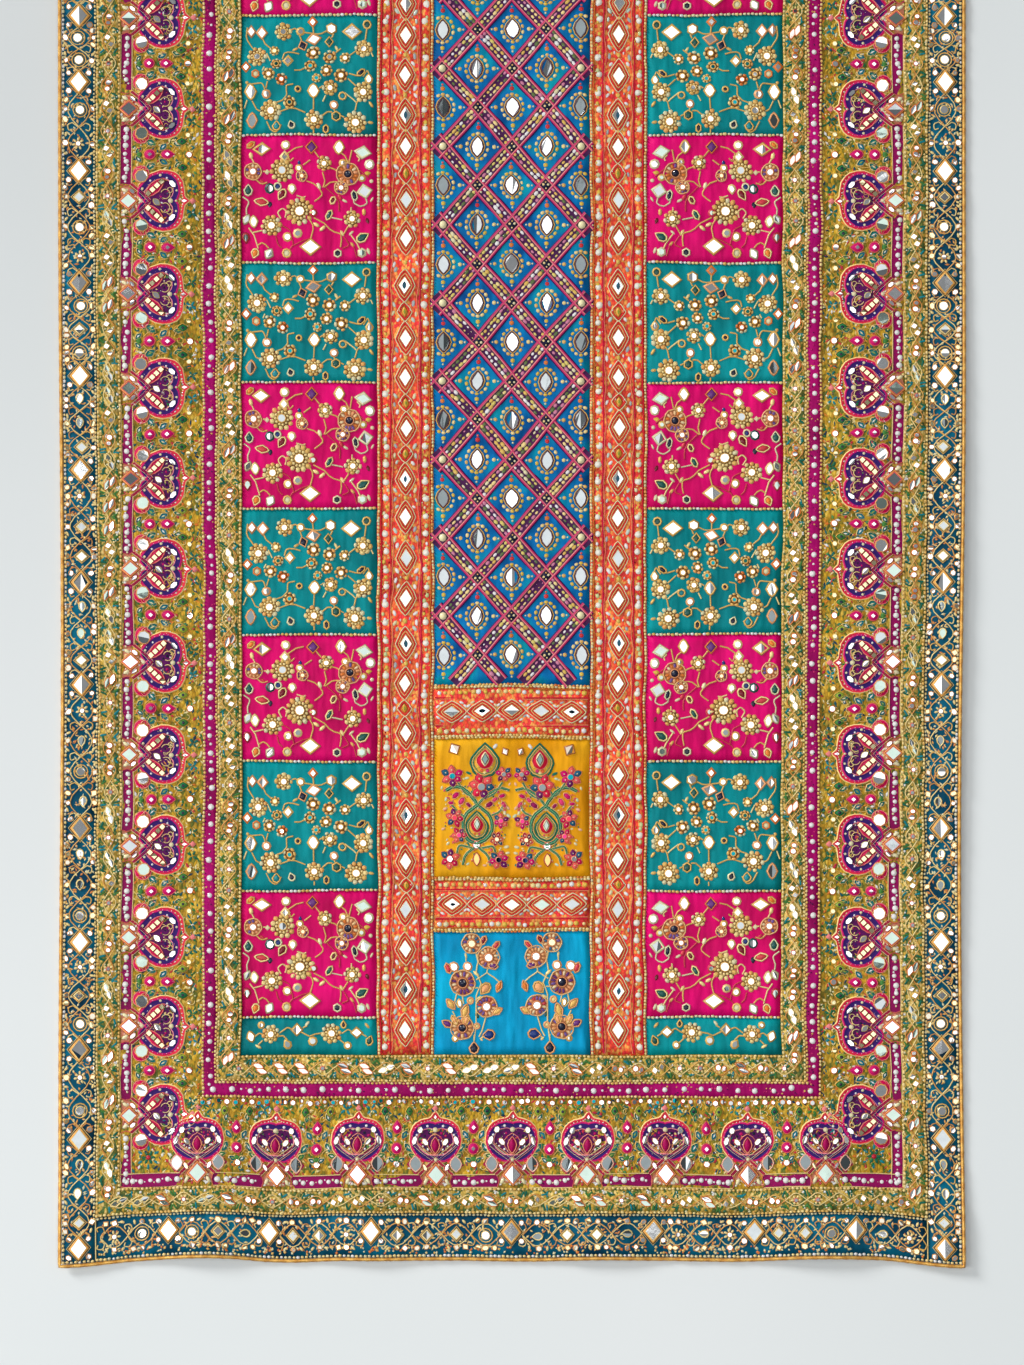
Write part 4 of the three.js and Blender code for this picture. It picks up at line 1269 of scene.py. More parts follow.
def mosaic_flower(zone, centre, radius, middle, petal):
    """A flower with a scalloped orange rim, narrow petals of mixed silks and a dark or bright middle. A dark
    middle gets a painted highlight: a small white mirror seed.
    """
    centre = np.asarray(centre, float)
    t = 2 * np.pi * np.arange(40) / 40
    lobes = max(5, round(radius * 0.62))
    edge = radius * (0.93 + 0.07 * np.abs(np.cos(t * lobes / 2)))
    rim = centre + edge[:, None] * around(t)
    pad(zone.silk, rim, 0.4, rgb(206, 124, 76), 0.2)
    cord(zone.gold, rim, 1.5, 1.5, rgb(255, 200, 134), closed=True)
    count = lobes * 2
    t = 2 * np.pi * (np.arange(count) + 0.5) / count
    spots = centre + radius * 0.68 * around(t)
    options = [petal, rgb(255, 226, 176), petal, rgb(120, 84, 160), rgb(250, 170, 116), rgb(255, 210, 150)]
    size = (math.pi * radius * 0.6 / count, radius * 0.24)
    tints = drawn(options, count)
    loft(zone.gold, HEXAGON, spots, size, [(1, 0, 0.2), (0.75, 0, 1.4)], tints, t - np.pi / 2, top=1.7)
    core = 0.34 * radius
    loft(zone.gold, ROUND, [centre], core, [(1, 1.4, 0.4), (1, 0.6, 2.1), (1, -0.2, 1.2)], rgb(230, 150, 96))
    heap, outline = (zone.beads, ROUND) if middle is NIGHT else (zone.mirrors, OCTAGON)
    loft(heap, outline, [centre], core, [(1, 0, 0), (1, -0.2, 1.5)], middle, top=1.5)
    # Painted highlight: a small white mirror seed set on the dark middle.
    if middle is NIGHT:
        painted_glint = [centre + (core * 0.35, core * 0.4)]
        size = (core * 0.26, core * 0.4)
        loft(zone.mirrors, SEED, painted_glint, size, [(1, 0, 1.4), (0.8, 0, 2)], GLASS, 0.5, top=2.1)


def patches():
    """The sprays of the teal and pink patches, in two variants each, and the half patches' garland."""
    zone = Zone()
    pink = [charted(PINK_SPRAY, PINK_STEMS) for _ in range(2)]
    teal = [charted(TEAL_SPRAY, TEAL_STEMS) for _ in range(2)]
    garland = charted(GARLAND, GARLAND_STEMS)
    near = E_INNER
    middle = -(BAND + PATCH) / 2
    tints = (GOLD_LIGHT, CREAM, WHITE, GOLD_MAIN, CREAM)
    for row, length in enumerate(ROW_LENGTHS):
        if row in (0, len(ROW_LENGTHS) - 1):
            motif = garland
        else:
            motif = (pink if row % 2 else teal)[row // 2 % 2]
        zone.paste(motif, (middle, near + length / 2))
        if row:
            bead_line(zone.gold, (-PATCH + 2, near), (-BAND - 3, near), 4.0, 1.5, tints, 1.35)
        near += length
    zone.mirrored(across=True)
    finish_zone("patches", zone, CLOTH)


AZURE_SPRAY = [
    ("mosaic", -40, 50, 10, 0, 0, "c", "u"), ("mosaic", -23.5, 36, 11, 0, 0, "w", "f"),
    ("mosaic", -50, 10.5, 13, 0, 0, "n", "p"), ("mosaic", -25.4, -13, 11, 0, 0, "w", "x"),
    ("mosaic", -50, -35, 12, 0, 0, "n", "f"), ("round", -58.5, 26.5, 3.8, 4.0, 0, "w", "f"),
    ("round", -44.6, 27, 3.4, 3.6, 0, "w", "f"), ("seed", -64.5, 25, 3, 5, 20, "x", "f"),
    ("seed", -28.5, 53, 2.6, 4.6, -30, "r", "f"), ("seed", -16, 48, 2.4, 4.6, -40, "x", "f"),
    ("seed", -19, 27.5, 3.4, 4.4, 80, "p", "f"), ("lens", -62, -11, 3.2, 6.2, 40, "o", "f"),
    ("lens", -47.5, -18, 3.6, 7.4, -16, "o", "f"), ("lens", -14.5, -18, 3, 5.6, -60, "o", "f"),
    ("drop", -27, 5, 4.6, 6.2, 140, "f", "o"), ("lens", -13, 7, 2.4, 5.4, -20, "a", "f"),
    ("drop", -23, -42, 4.8, 6.0, 100, "b", "f"), ("drop", -38, -55, 4.4, 5.4, 0, "n", "f"),
    ("lens", -65, -31, 3.2, 5.4, 60, "p", "f"), ("drop", -30.5, -46.5, 1.4, 2.4, 40, "l"),
    ("seed", -36, 20, 2.0, 4.4, 50, "l"), ("round", -42, -7, 2.6, 2.8, 0, "l", "f"),
    ("seed", -53, -10, 1.8, 3.6, 10, "w"), ("seed", -35, -22, 2.2, 3.6, 30, "d"),
    ("round", -35, -33, 2.2, 2.4, 0, "l", "f"), ("seed", -46, -27, 2.6, 5.4, -20, "f", "o"),
    ("seed", -58, -27, 2.4, 5.0, 30, "f", "o"), ("round", -57, -46, 1.8, 1.8, 0, "w"),
    ("seed", -46, 38, 1.4, 3.2, 10, "l"), ("seed", -33, -4, 1.6, 3.4, -60, "l"),
]
AZURE_STEMS = [
    ([(-36, 41), (-34, 32), (-36, 22), (-31, 10), (-36, -2), (-36, -18), (-36, -34), (-38, -48)], "l"),
    ([(-24, 26), (-25, 21), (-18, 16), (-12, 10), (-14, 2)], "l"),
    ([(-25, 21), (-32, 17), (-36, 14)], "l"), ([(-50.4, -2), (-49, -10)], "l"),
    ([(-26, -24), (-29, -36), (-33, -44)], "l"), ([(-27, -43), (-32, -46)], "l"),
    ([(-56, 0), (-58, -8), (-54, -14)], "l"), ([(-46, 32), (-46, 38)], "l"),
    ([(-38, -42), (-38, -50)], "l"), ([(-57, -24), (-60, -18)], "l"), ([(-40, 6), (-34, 6)], "l"),
]


def centre_panels():
    """The sprays of the azure and marigold panels, each with its mirror image beside it."""
    zone = Zone()
    azure, marigold = charted(AZURE_SPRAY, AZURE_STEMS, 1.5), marigold_spray()
    for motif, along in ((azure, AZURE / 2), (marigold, AZURE + CROSS + MARIGOLD / 2)):
        zone.paste(motif, (0, E_INNER + along))
        zone.paste(motif, (0, E_INNER + along), flip=-1)
    seam = E_INNER
    for _, length in CENTRE_PIECES:
        seam += length
        tints = (GOLD_LIGHT, GOLD_MAIN, ORANGE)
        bead_line(zone.gold, (-CENTRE + 2, seam), (CENTRE - 2, seam), 3.6, 1.5, tints, 1.3)
    zone.mirrored(along=True)
    finish_zone("panels", zone, CLOTH)


def drop_eye(motif, at, half_width, half_length, glass_tint):
    """A large drop: doubled green cords, a gold field, and a crimson flame round a mirror."""
    outline = dropped(22)
    size = np.array((half_width, half_length))
    loft(motif.silk, outline, [at], size * 0.9, [(1, 0, 0), (0.97, 0, 0.6)], rgb(240, 176, 60), top=0.7)
    for share, tint, width in ((1.0, rgb(20, 116, 92), 2.2), (0.88, GOLD_LIGHT, 1.0),
                               (0.8, rgb(40, 140, 110), 1.3)):
        cord(motif.silk, outline * size * share + at, width, 1.4, tint, closed=True)
    flame = (at[0], at[1] + half_length * 0.08)
    loft(motif.silk, outline, [flame], size * 0.56, [(1, 0, 0.4), (0.96, 0, 1.1)], rgb(214, 24, 60), top=1.2)
    cord(motif.silk, outline * size * 0.58 + flame, 1.0, 1.7, rgb(250, 140, 130), closed=True)
    loft(motif.silk, LENS, [flame], size * (0.3, 0.44), [(1, 0, 1.0), (0.95, 0, 1.5)], CREAM, top=1.6)
    glass(motif, DIAMOND, [flame], size * (0.2, 0.32), 0, glass_tint, rgb(120, 60, 70), 0.7, base=1.4)
    shares = ((-0.45, 0.38), (-0.2, 0.6), (0.2, 0.6), (0.45, 0.38), (0, 0.74))
    foot = np.array(at) + np.array([(x * half_width, -half_length * y) for x, y in shares])
    tints = np.array([YELLOW, rgb(240, 110, 60), ROSE, YELLOW, GOLD_LIGHT])
    loft(motif.silk, ROUND, foot, half_width * 0.15, [(1, 0, 0.4), (0.8, 0, 1.1)], tints, top=1.3)


def blossom(motif, at, radius, middle, petal, other):
    """A silk flower of pointed petals of mixed lengths round a small mirror, each outlined in thread."""
    count = 6
    t = rng.uniform(0, 1) + 2 * np.pi * np.arange(count) / count + rng.normal(0, 0.12, count)
    reach = radius * rng.uniform(0.56, 0.72, (count, 1))
    spots = np.asarray(at) + reach * around(t)
    size = np.stack([np.full(count, 0.36), rng.uniform(0.42, 0.54, count)], -1) * radius
    tint = np.array([petal, other, rgb(110, 20, 96), petal, rgb(30, 90, 120), other])[rng.permutation(count)]
    turn = t - np.pi / 2
    edged(motif, LENS, spots, size, tint, rgb(250, 150, 100), [(1, 0, 0), (0.8, 0, 1.1)],
          [(1, 0.5, 0), (1, 0.1, 1.3), (1, -0.2, 0.9)], turn)
    loft(motif.silk, LENS, spots, size * 0.3, [(1, 0, 1.0), (0.8, 0, 1.5)], CREAM, turn, top=1.6)
    loft(motif.silk, OCTAGON, [at], radius * 0.44, [(1, 0, 0), (0.95, 0, 1.2)], petal, top=1.2)
    glass(motif, OCTAGON, [at], radius * 0.28, 0, middle, rgb(252, 190, 140), 0.8, base=1.0)


def marigold_spray():
    """Half of a marigold panel's pattern: a drop and a flower on crossed stems round a second drop."""
    motif = Zone()
    stem_green = rgb(26, 124, 100)
    for path, width in (
        ([(-66, 17), (-58, 21), (-48, 19), (-39, 10), (-34, 2)], 3.2),
        ([(-3, 18), (-12, 20), (-22, 15), (-31, 6), (-34, 2)], 2.2),
        ([(-34, 2), (-46, -8), (-49, -21), (-44, -32), (-35, -36)], 3.2),
        ([(-34, 2), (-22, -8), (-19, -21), (-25, -31), (-35, -36)], 3.2),
        ([(-35, -38), (-46, -47), (-49, -57)], 2.0), ([(-35, -38), (-24, -47), (-21, -57)], 2.0),
        ([(-40, -40), (-52, -38), (-55, -46)], 1.6), ([(-30, -40), (-19, -38), (-16, -44)], 1.6),
        ([(-36, 10), (-46, 14), (-54, 26)], 1.6), ([(-30, 8), (-18, 14), (-10, 26)], 1.6),
        ([(-47, -10), (-54, -6), (-60, 2)], 1.6), ([(-20, -8), (-12, -4), (-8, 4)], 1.6),
    ):
        line = curve(path, 5)
        cord(motif.silk, line, width, 1.2, stem_green, round_top=True)
        cord(motif.gold, line, width * 0.35, 1.7, rgb(150, 200, 130))
        for way in (-1, 1):
            cord(motif.gold, shifted(line, way * width * 0.66), 0.8, 1.1, GOLD_LIGHT)
    drop_eye(motif, (-28, 47.5), 14.4, 16.6, rgb(110, 136, 130))
    drop_eye(motif, (-34.5, -18), 11.4, 14, rgb(170, 184, 170))
    blossom(motif, (-30.5, 21), 12.5, DARK_REFLECTION, rgb(222, 30, 70), rgb(240, 90, 90))
    glass(motif, ROUND, [(-35, -37)], 3.2, 0, GLASS, CORAL, 1.5)
    glass(motif, LENS, [(-35, -51)], (3, 6), 0, rgb(240, 190, 120), rgb(200, 90, 70), 1.2)
    for at, radius, middle in (
            ((-59.5, 32), 10.4, AQUA), ((-9, 34), 7.4, DARK_REFLECTION), ((-57.5, -11), 8.8, rgb(210, 60, 80)),
            ((-53, -28), 7.6, ROSE), ((-62, -51), 9.4, GLASS), ((-13, -51), 9.4, NIGHT),
            ((-10.5, -13), 7.4, ROSE), ((-14.5, -31), 6.6, CREAM)):
        petal, other = picked((MAGENTA, rgb(206, 20, 80))), picked((CORAL, rgb(240, 100, 90)))
        blossom(motif, at, radius, middle, petal, other)
    buds = [(-50, 6), (-43, 2), (-56, 12), (-61, 4), (-17, 8), (-10, 12), (-22, 3), (-8, 3)]
    tint = drawn([ROSE, MAGENTA, rgb(150, 20, 90)], len(buds))
    size = rng.uniform(0.8, 1.15, (len(buds), 1)) * (2.8, 4.2)
    turn = rng.uniform(0, 3, len(buds))
    edged(motif, SEED, buds, size, tint, rgb(252, 170, 120), [(1, 0, 0), (0.6, 0, 1)],
          [(1, 0.7, 0), (1, 0.1, 1.2), (1, -0.4, 0.6)], turn, 1.2)
    petals(motif.silk, (-28, 28), 17, 5, (1.8, 3.6), stem_green, phase=0.2)
    glass(motif, DIAMOND, [(-58, 59), (-8, 56)], [(5.4, 5.4), (3.0, 3.4)], 0.5, [rgb(190, 176, 160), WHITE],
          rgb(200, 120, 60), 1.1)
    at = np.array([(-4, 0), (-7, -5), (-3, -8), (-10, -1), (-67, -2), (-69, -22), (-5, -38), (-4, -44),
                   (-18, 61), (-70, 20), (-3, 24), (-66, 8), (-12, 20), (-45, 30), (-64, -36), (-44, -56),
                   (-27, -57)])
    tint = drawn([WHITE, CREAM, rgb(214, 226, 190), rgb(250, 190, 150)], len(at))
    size = rng.uniform(0.8, 1.2, (len(at), 1)) * (1.5, 2.6)
    loft(motif.beads, HEXAGON, at, size, STONE, tint, rng.uniform(0, 3, len(at)), top=1.2)
    count = 190
    at = np.stack([rng.uniform(-68, -4, count), rng.uniform(-57, 38, count)], -1)
    chips(motif.gold, at, 0.8, 1.9, (GOLD_LIGHT, CORAL, CREAM, rgb(40, 130, 100), ROSE, rgb(240, 120, 60)))
    return motif


# The wide border.
PLUM, BLOCK = rgb(96, 8, 92), rgb(160, 0, 96)


def block(zone, start, end, low, high):
    """A stretch of pink ribbon along the border's outer edge, with its beads."""
    middle = (low + high) / 2
    outline = [(start, low), (end, low), (end + 2, middle), (end, high), (start, high), (start - 2, middle)]
    pad(zone.silk, outline, 0.8, BLOCK, 0.1)
    for edge in (low, high):
        cord(zone.gold, spaced((start, edge), (end, edge), 9), 1.2, 1.2, GOLD_LIGHT)
    for x, way in ((start, -2), (end, 2)):
        cord(zone.gold, [(x, low), (x + way, middle), (x, high)], 1.0, 1.2, CORAL)
    x = start + 3.6
    while x < end - 2.5:
        beads(zone.beads, [(x, middle + rng.normal(0, 0.7))], rng.uniform(2.3, 3.1), WHITE, sides=8, base=0.7)
        spot = [(x + rng.uniform(3.4, 4.8), middle + rng.uniform(-3, 3))]
        beads(zone.beads, spot, rng.uniform(1.0, 1.6), picked((WHITE, CREAM, WHITE)), base=0.7)
        at = np.stack([x + rng.uniform(-4, 4, 4), middle + rng.uniform(-1, 1, 4) * (high - low) * 0.42], -1)
        chips(zone.silk, at, 0.6, 1.5, (ROSE, MAGENTA, rgb(96, 4, 80)), 1.2)
        x += rng.uniform(7.4, 10)


def gold_curls(zone, spot_for, count):
    """Loose curls of couched gold thread over an area."""
    spots = spot_for(rng.random(count), rng.random(count))
    for spot in spots:
        turn, size, side = rng.uniform(0, 2 * np.pi), rng.uniform(2.2, 4.2), rng.choice((-1, 1))
        t = np.linspace(0, 1, 7)
        radius = size * (1 - 0.55 * t)
        heading = turn + side * 4.2 * t
        path = spot + radius[:, None] * around(heading)
        cord(zone.gold, path, 0.9, 0.9, picked((GOLD_LIGHT, GOLD_MAIN, rgb(236, 190, 90))))


# Halves of the arches' outlines, as across from the arch's middle and in from the border's outer edge:
# the dark ring from where its cords cross round to its crown, and the lighter cords outside it.
SIDE_RING = [(0, 28.5), (8, 21.5), (15.5, 26), (21.8, 33), (24.2, 41), (23.4, 48), (18.5, 53.6), (11.5, 56),
             (4.8, 55.4), (0, 51.5)]
SIDE_CROWN = [(14, 19.5), (23.5, 28), (28.3, 38), (28.6, 47), (25.6, 55.6), (18.5, 61.3), (9, 63), (3.6, 64),
              (0, 68.6)]
END_RING = [(0, 28), (8.5, 28.5), (16.5, 33.5), (20.8, 40.5), (21, 48.5), (17.6, 55.4), (11.4, 59.2), (5, 60),
            (0, 58.4)]
END_CROWN = [(12, 24), (20.5, 32.5), (24.8, 41), (25, 50), (21.8, 58.4), (15.4, 63.8), (8, 65.4), (3.6, 67.4),
             (0, 73)]


def whole(half):
    """Both halves of an outline, from the points of one."""
    line = curve(half, 4)
    return np.concatenate([line, line[-2::-1] * (-1, 1)])


def arch_head(motif, ring, crown):
    """The head of an arch: a plum field, a dark ring with light edges, and the cords outside it."""
    loop, outer = whole(ring), whole(crown)
    pad(motif.silk, loop[:-1], 0.5, PLUM)
    light, blush, crimson = rgb(250, 150, 160), rgb(250, 160, 130), rgb(226, 44, 70)
    braid(motif.silk, loop, [(3.7, 0, light), (2.9, 1.3, light), (2.3, 1.1, INDIGO), (-2.2, 1.1, INDIGO),
                             (-2.7, 1.3, MAGENTA), (-3.8, 1.3, MAGENTA), (-4.7, 0, blush)])
    braid(motif.silk, outer, [(2.1, 0, ORANGE), (1.2, 1.0, crimson), (-0.8, 1.1, crimson),
                              (-1.4, 1.2, GOLD_LIGHT), (-2.1, 0, GOLD_LIGHT)])
    steps = outer[2:-2:2]
    steps = steps[np.abs(steps[:, 0]) > 3]
    chips(motif.beads, steps * (0.94, 0.985), 1.1, 1.9, (WHITE, CREAM, WHITE), 1.7)
    tip = crown[-1][1]
    profile = [(1, 0, 0), (0.9, 0, 0.8)]
    loft(motif.silk, DIAMOND, [(0, tip + 4)], (3.4, 3.8), profile, rgb(236, 130, 130), top=0.9)
    glass(motif, DIAMOND, [(0, tip - 4)], (1.9, 2.8), tint=GLASS, rim=CORAL, width=1.2, rim_heap="silk")


def arch_base(motif, high, foot, mirror_size, tint):
    """The foot of an arch between two stretches of ribbon: a mirror on a mottled pale field."""
    half = [(15, 0.6), (15.6, 7), (10.4, 14), (4, high - 3)]
    outline = [(-15, 0.6), *half, (0, high), *[(-x, y) for x, y in half[:0:-1]]]
    pad(motif.silk, outline, 0.4, rgb(236, 150, 116))
    count = 84
    y = rng.uniform(1.2, high - 4, count)
    at = np.stack([rng.uniform(-1, 1, count) * (15.6 - 0.6 * y), y], -1)
    tints = (CREAM, WHITE, rgb(250, 160, 120), GOLD_LIGHT, CREAM, WHITE, rgb(206, 40, 70))
    chips(motif.beads, at, 1.0, 2.4, tints, 1.6)
    for side in (-1, 1):
        profile = [(1, 0, 0.8), (0.75, 0, 1.8)]
        loft(motif.beads, SEED, [(10.4 * side, 5)], (2.2, 4.0), profile, CREAM, 0.5 * side, top=2.0)
        strand = curve([(17 * side, 11), (8.5 * side, high - 6.5), (0, high + 1.5)], 4)
        for distance, colour, width in ((0, rgb(196, 20, 80), 2.0), (1.5, rgb(252, 170, 150), 1.0),
                                        (-1.5, rgb(252, 200, 160), 1.0)):
            cord(motif.silk, shifted(strand, distance), width, 1.9, colour)
    at, size = [(0, foot)], np.asarray(mirror_size)
    loft(motif.silk, DIAMOND, at, size, [(1, 3.4, 0.6), (1, 3.0, 1.5)], rgb(214, 60, 60), top=1.5)
    glass(motif, DIAMOND, at, size, tint=tint, rim=CORAL, width=1.2, base=1.4)
    loft(motif.gold, DIAMOND, at, size, [(1, 2.8, 1.2), (1, 2.0, 2.8), (1, 1.1, 1.8)], rgb(250, 180, 90))


def side_arch():
    """A heart-headed arch of the wide border's long sides."""
    motif = Zone()
    arch_head(motif, SIDE_RING, SIDE_CROWN)
    for side in (-1, 1):
        edged(motif, LENS, [(12.8 * side, 35)], (5.4, 12.8), rgb(206, 16, 84), rgb(246, 120, 110),
              [(1, 0, 0.5), (0.92, 0, 1.2)], [(1, 0.8, 0.6), (1, 0.2, 1.9), (1, -0.6, 1.1)],
              -side * math.pi / 4, 1.2)
        squares = spaced((7 * side, 28.6), (18.6 * side, 41.4), 5.6)
        glass(motif, DIAMOND, squares, 3.0, tint=CREAM, rim=rgb(150, 70, 60), width=0.7, base=1.0)
        for centre, reach in (((6.6 * side, 45.6), 4.6), ((10.4 * side, 49.8), 2.6)):
            t = np.linspace(-0.6, 4.4, 12)
            curl = np.stack([centre[0] - side * reach * np.cos(t), centre[1] + reach * np.sin(t)], -1)
            cord(motif.gold, curl, 1.2, 1.8, GOLD_LIGHT)
        spots = [(6.5 * side, 45), (4 * side, 41), (9.5 * side, 47.6)]
        chips(motif.silk, spots, 1.4, 2.4, (NIGHT, INDIGO, MAGENTA), 1.6)
        seed = [(16.4 * side, 52.2)]
        glass(motif, SEED, seed, (2.6, 4.2), 0.8 * side, GLASS, rgb(60, 20, 60), 0.8, base=0.9)
        spots = [(24.8 * side, 40), (22 * side, 46.6), (10 * side, 56.4), (19.4 * side, 30.4),
                 (11.6 * side, 22.8)]
        tints = np.array([CREAM, WHITE, CREAM, WHITE, CREAM])
        beads(motif.beads, spots, (1.5, 1.1, 1.3, 1.2, 1.4), tints, base=1.1)
        edged(motif, ROUND, [(26.2 * side, 21)], 8.4, rgb(214, 10, 84), rgb(250, 130, 130),
              [(1, 0, 0), (0.93, 0, 0.8)], [(1, 0.5, 0.2), (1, 0, 1.2), (1, -0.6, 0.6)], top=0.8)
        tint = picked((GLASS, GLASS, GLASS, SEA, GREY))
        glass(motif, OCTAGON, [(24.2 * side, 21.6)], 6.1, 0.2 * side, tint, rgb(244, 170, 100), 1.2, base=0.8)
        glass(motif, SEED, [(9.4 * side, 12.6)], (2.0, 3.4), 0.7 * side, GLASS, CORAL, 0.7, base=1.2)
        tint = picked((AQUA, GREEN, rgb(24, 112, 104)))
        petals(motif.silk, (12 * side, 72), 3.2, 4, (1.6, 3.0), tint, side)
    glass(motif, LENS, [(1.2, 37)], (2.4, 4.0), -0.7, GLASS, GOLD_LIGHT, 0.9, base=0.9)
    beads(motif.beads, [(0, 50.8), (0, 21.4), (0, 56.4)], (2.5, 2.1, 1.2), CREAM, base=1.2, sides=8)
    arch_base(motif, 28.5, 8.7, (6.6, 7.6), picked((DARK_REFLECTION, GREY, SEA, GLASS)))
    return motif


def end_arch():
    """A domed arch of the wide border's ends, narrower than the side ones."""
    motif = Zone()
    arch_head(motif, END_RING, END_CROWN)
    for side in (-1, 1):
        strand = curve([(0, 26), (7 * side, 31), (13.5 * side, 35.5), (20.4 * side, 41.4)], 4)
        for distance, tint, width in ((-2.4, rgb(250, 170, 120), 1.1), (-0.8, CREAM, 1.1),
                                      (0.8, rgb(150, 10, 60), 1.4), (2.3, GOLD_LIGHT, 1.1)):
            cord(motif.gold, shifted(strand, distance), width, 1.7, tint)
        seeds, sizes = [(15.4 * side, 55.4), (21.2 * side, 45)], [(2.6, 3.0), (2.3, 4.2)]
        glass(motif, SEED, seeds, sizes, 0.3 * side, GLASS, GOLD_LIGHT, 0.8, base=0.9)
        glass(motif, SEED, [(10.2 * side, 43.6)], (2.3, 3.6), -0.7 * side, GLASS, GOLD_LIGHT, 0.8, base=0.9)
        spots = [(5.6 * side, 48), (10.6 * side, 49.6), (13.4 * side, 45.6), (6.4 * side, 52),
                 (15 * side, 41)]
        chips(motif.silk, spots, 1.6, 2.6, (NIGHT, MAGENTA, rgb(230, 50, 90), NIGHT), 1.6)
        spots = [(8 * side, 59.2), (18.8 * side, 50.4), (7.6 * side, 36.5), (12.6 * side, 39.6)]
        beads(motif.beads, spots, (1.5, 1.3, 1.2, 1.0), WHITE, base=1.1)
        curl = curve([(0, 52), (5 * side, 49), (8.4 * side, 43), (4.4 * side, 34.6), (0, 31.6)], 4)
        cord(motif.gold, curl, 1.2, 1.7, rgb(250, 150, 120))
        x = 20.4 * side
        pad(motif.silk, [(x - 8.6, 21.6), (x, 10.6), (x + 8.6, 21.6), (x, 33.6)], 0.6, rgb(206, 6, 92), 0.1)
        tint = picked((DARK_REFLECTION, SEA, GREY, DARK_REFLECTION))
        glass(motif, LENS, [(20.2 * side, 22.2)], (5.5, 7.5), 0, tint, rgb(250, 190, 160), 1.3, base=0.7)
        tint = picked((GLASS, CREAM))
        glass(motif, SEED, [(11.2 * side, 19)], (2.0, 3.6), -0.5 * side, tint, CORAL, 0.7, base=1.0)
        tint = picked((AQUA, rgb(24, 112, 104), LEAF))
        petals(motif.silk, (12.4 * side, 76), 4.0, 4, (1.6, 3.0), tint, side)
    edged(motif, LENS, [(0, 40.6)], (3.6, 7.2), rgb(170, 0, 84), rgb(250, 150, 120),
          [(1, 0, 0.5), (0.9, 0, 1.8)], [(1, 1.6, 0.5), (1, 1.0, 2.2), (1, 0.2, 1.2)], top=2.0)
    beads(motif.beads, [(0, 55.6), (0, 26.4)], (2.6, 2.0), CREAM, base=1.3, sides=8)
    arch_base(motif, 26, 11.5, (7.8, 9.2), picked((GLASS, GLASS, SEA)))
    return motif


def between(gap, drops, white, eyes, low, high, cut):
    """What lies between two arches: ribbon, two buds among leaves, eyes and a mirror."""
    motif = Zone()
    block(motif, -(gap - cut) / 2, (gap - cut) / 2, low, high)
    first, second = drops
    leaves = (
        (12, first + 1, 3.7, 5.6, 0.6, rgb(24, 124, 120)),
        (7.8, first + 13.5, 3.0, 4.8, -0.6, rgb(20, 130, 150)),
        (15.6, first - 7, 2.6, 4.6, 1.1, rgb(64, 140, 80)),
        (10.5, second + 10, 2.5, 4.4, 0.3, rgb(30, 130, 110)),
        (4.6, first - 11, 2.4, 4.0, -0.9, rgb(24, 124, 130)),
    )
    for side in (-1, 1):
        for x, y, half_width, half_length, turn, tint in leaves:
            at, bend = [(x * side, y)], side * (turn + rng.normal(0, 0.15))
            edged(motif, LEAF_SHAPE, at, (half_width, half_length), tint, GOLD_LIGHT, [(1, 0, 0.3)],
                  [(1, 1.0, 0.2), (1, 0, 1.2)], bend, 1.0)
            vein, tint = (0.8, half_length * 0.5), picked((CREAM, WHITE, SPRING))
            loft(motif.beads, DIAMOND, at, vein, [(1, 0, 0.9)], tint, bend, top=1.4)
    for outline, along, size in ((ROUND, first, (5.2, 5.6)), (dropped(12), second, (4.8, 7))):
        edged(motif, outline, [(0, along)], size, MAGENTA, CORAL, BUD, BUD_EDGE)
    hearts = [(0, first), (0, second - 0.6)]
    glass(motif, DIAMOND, hearts, (2.1, 2.3), tint=GLASS, rim=ROSE, width=0.8, base=1.0)
    profile = [(1, 0, 0), (0.7, 0, 1.0)]
    loft(motif.silk, LENS, [(0, first - 10.5)], (3.0, 5.0), profile, LEAF, math.pi / 2, top=1.2)
    glass(motif, ROUND, [(0, white)], 2.7, tint=GLASS, rim=ORANGE, width=1.2)
    for side in (-1, 1):
        eye, tint = [(eyes[0] * side, eyes[1])], picked((LEAF, rgb(40, 120, 70), SPRING))
        edged(motif, LEAF_SHAPE, eye, (4.0, 5.4), tint, rgb(250, 196, 90), [(1, 0, 0), (0.9, 0, 1.0)],
              [(1, 1.2, 0), (1, 0, 1.4)], top=1.0)
        loft(motif.beads, OCTAGON, eye, 2.0, [(1, 0, 0.8), (0.8, 0, 1.7)], NIGHT, top=1.8)
        glass(motif, HEXAGON, [(20.4 * side, white - 0.5)], 2.2, tint=CREAM, rim=GOLD_MAIN, width=1.0)
        for vine in (((4, first - 6), (9, first - 1), (13, first + 8), (11, second)),
                     ((5, second + 6), (10, second + 9), (13, eyes[1] - 4))):
            line = curve([(x * side, y) for x, y in vine], 4)
            cord(motif.gold, line, 1.0, 0.8, GOLD_MAIN)
    return motif


def sprinkled(heap, count, spot, tints):
    """Short loose stitches over an area, each a low pointed ridge."""
    at = spot(rng.random(count), rng.random(count))
    scale = rng.uniform(0.7, 1.25, (count, 1)) * (1.0, 3.2)
    tint = drawn(tints, count)
    turn = np.where(rng.random(count) < 0.5, 0.65, -0.65) + rng.normal(0, 0.3, count)
    loft(heap, DIAMOND, at, scale, FLAT, tint, turn, top=0.7)


# Middles of the arches, from the near hem and from the centre line.
SIDE_ARCHES = [146, 234.5, 323.5, 416, 507, 599, 691.5, 782, 873, 967, 1060, 1152, 1243]
END_ARCHES = [-314, -236, -154, -76, 0]
# The ribbon blocks' inner and outer edges, in from the border's outer edge.
SIDE_BLOCK, END_BLOCK = (0.1, 11.8), (0.3, 13.4)


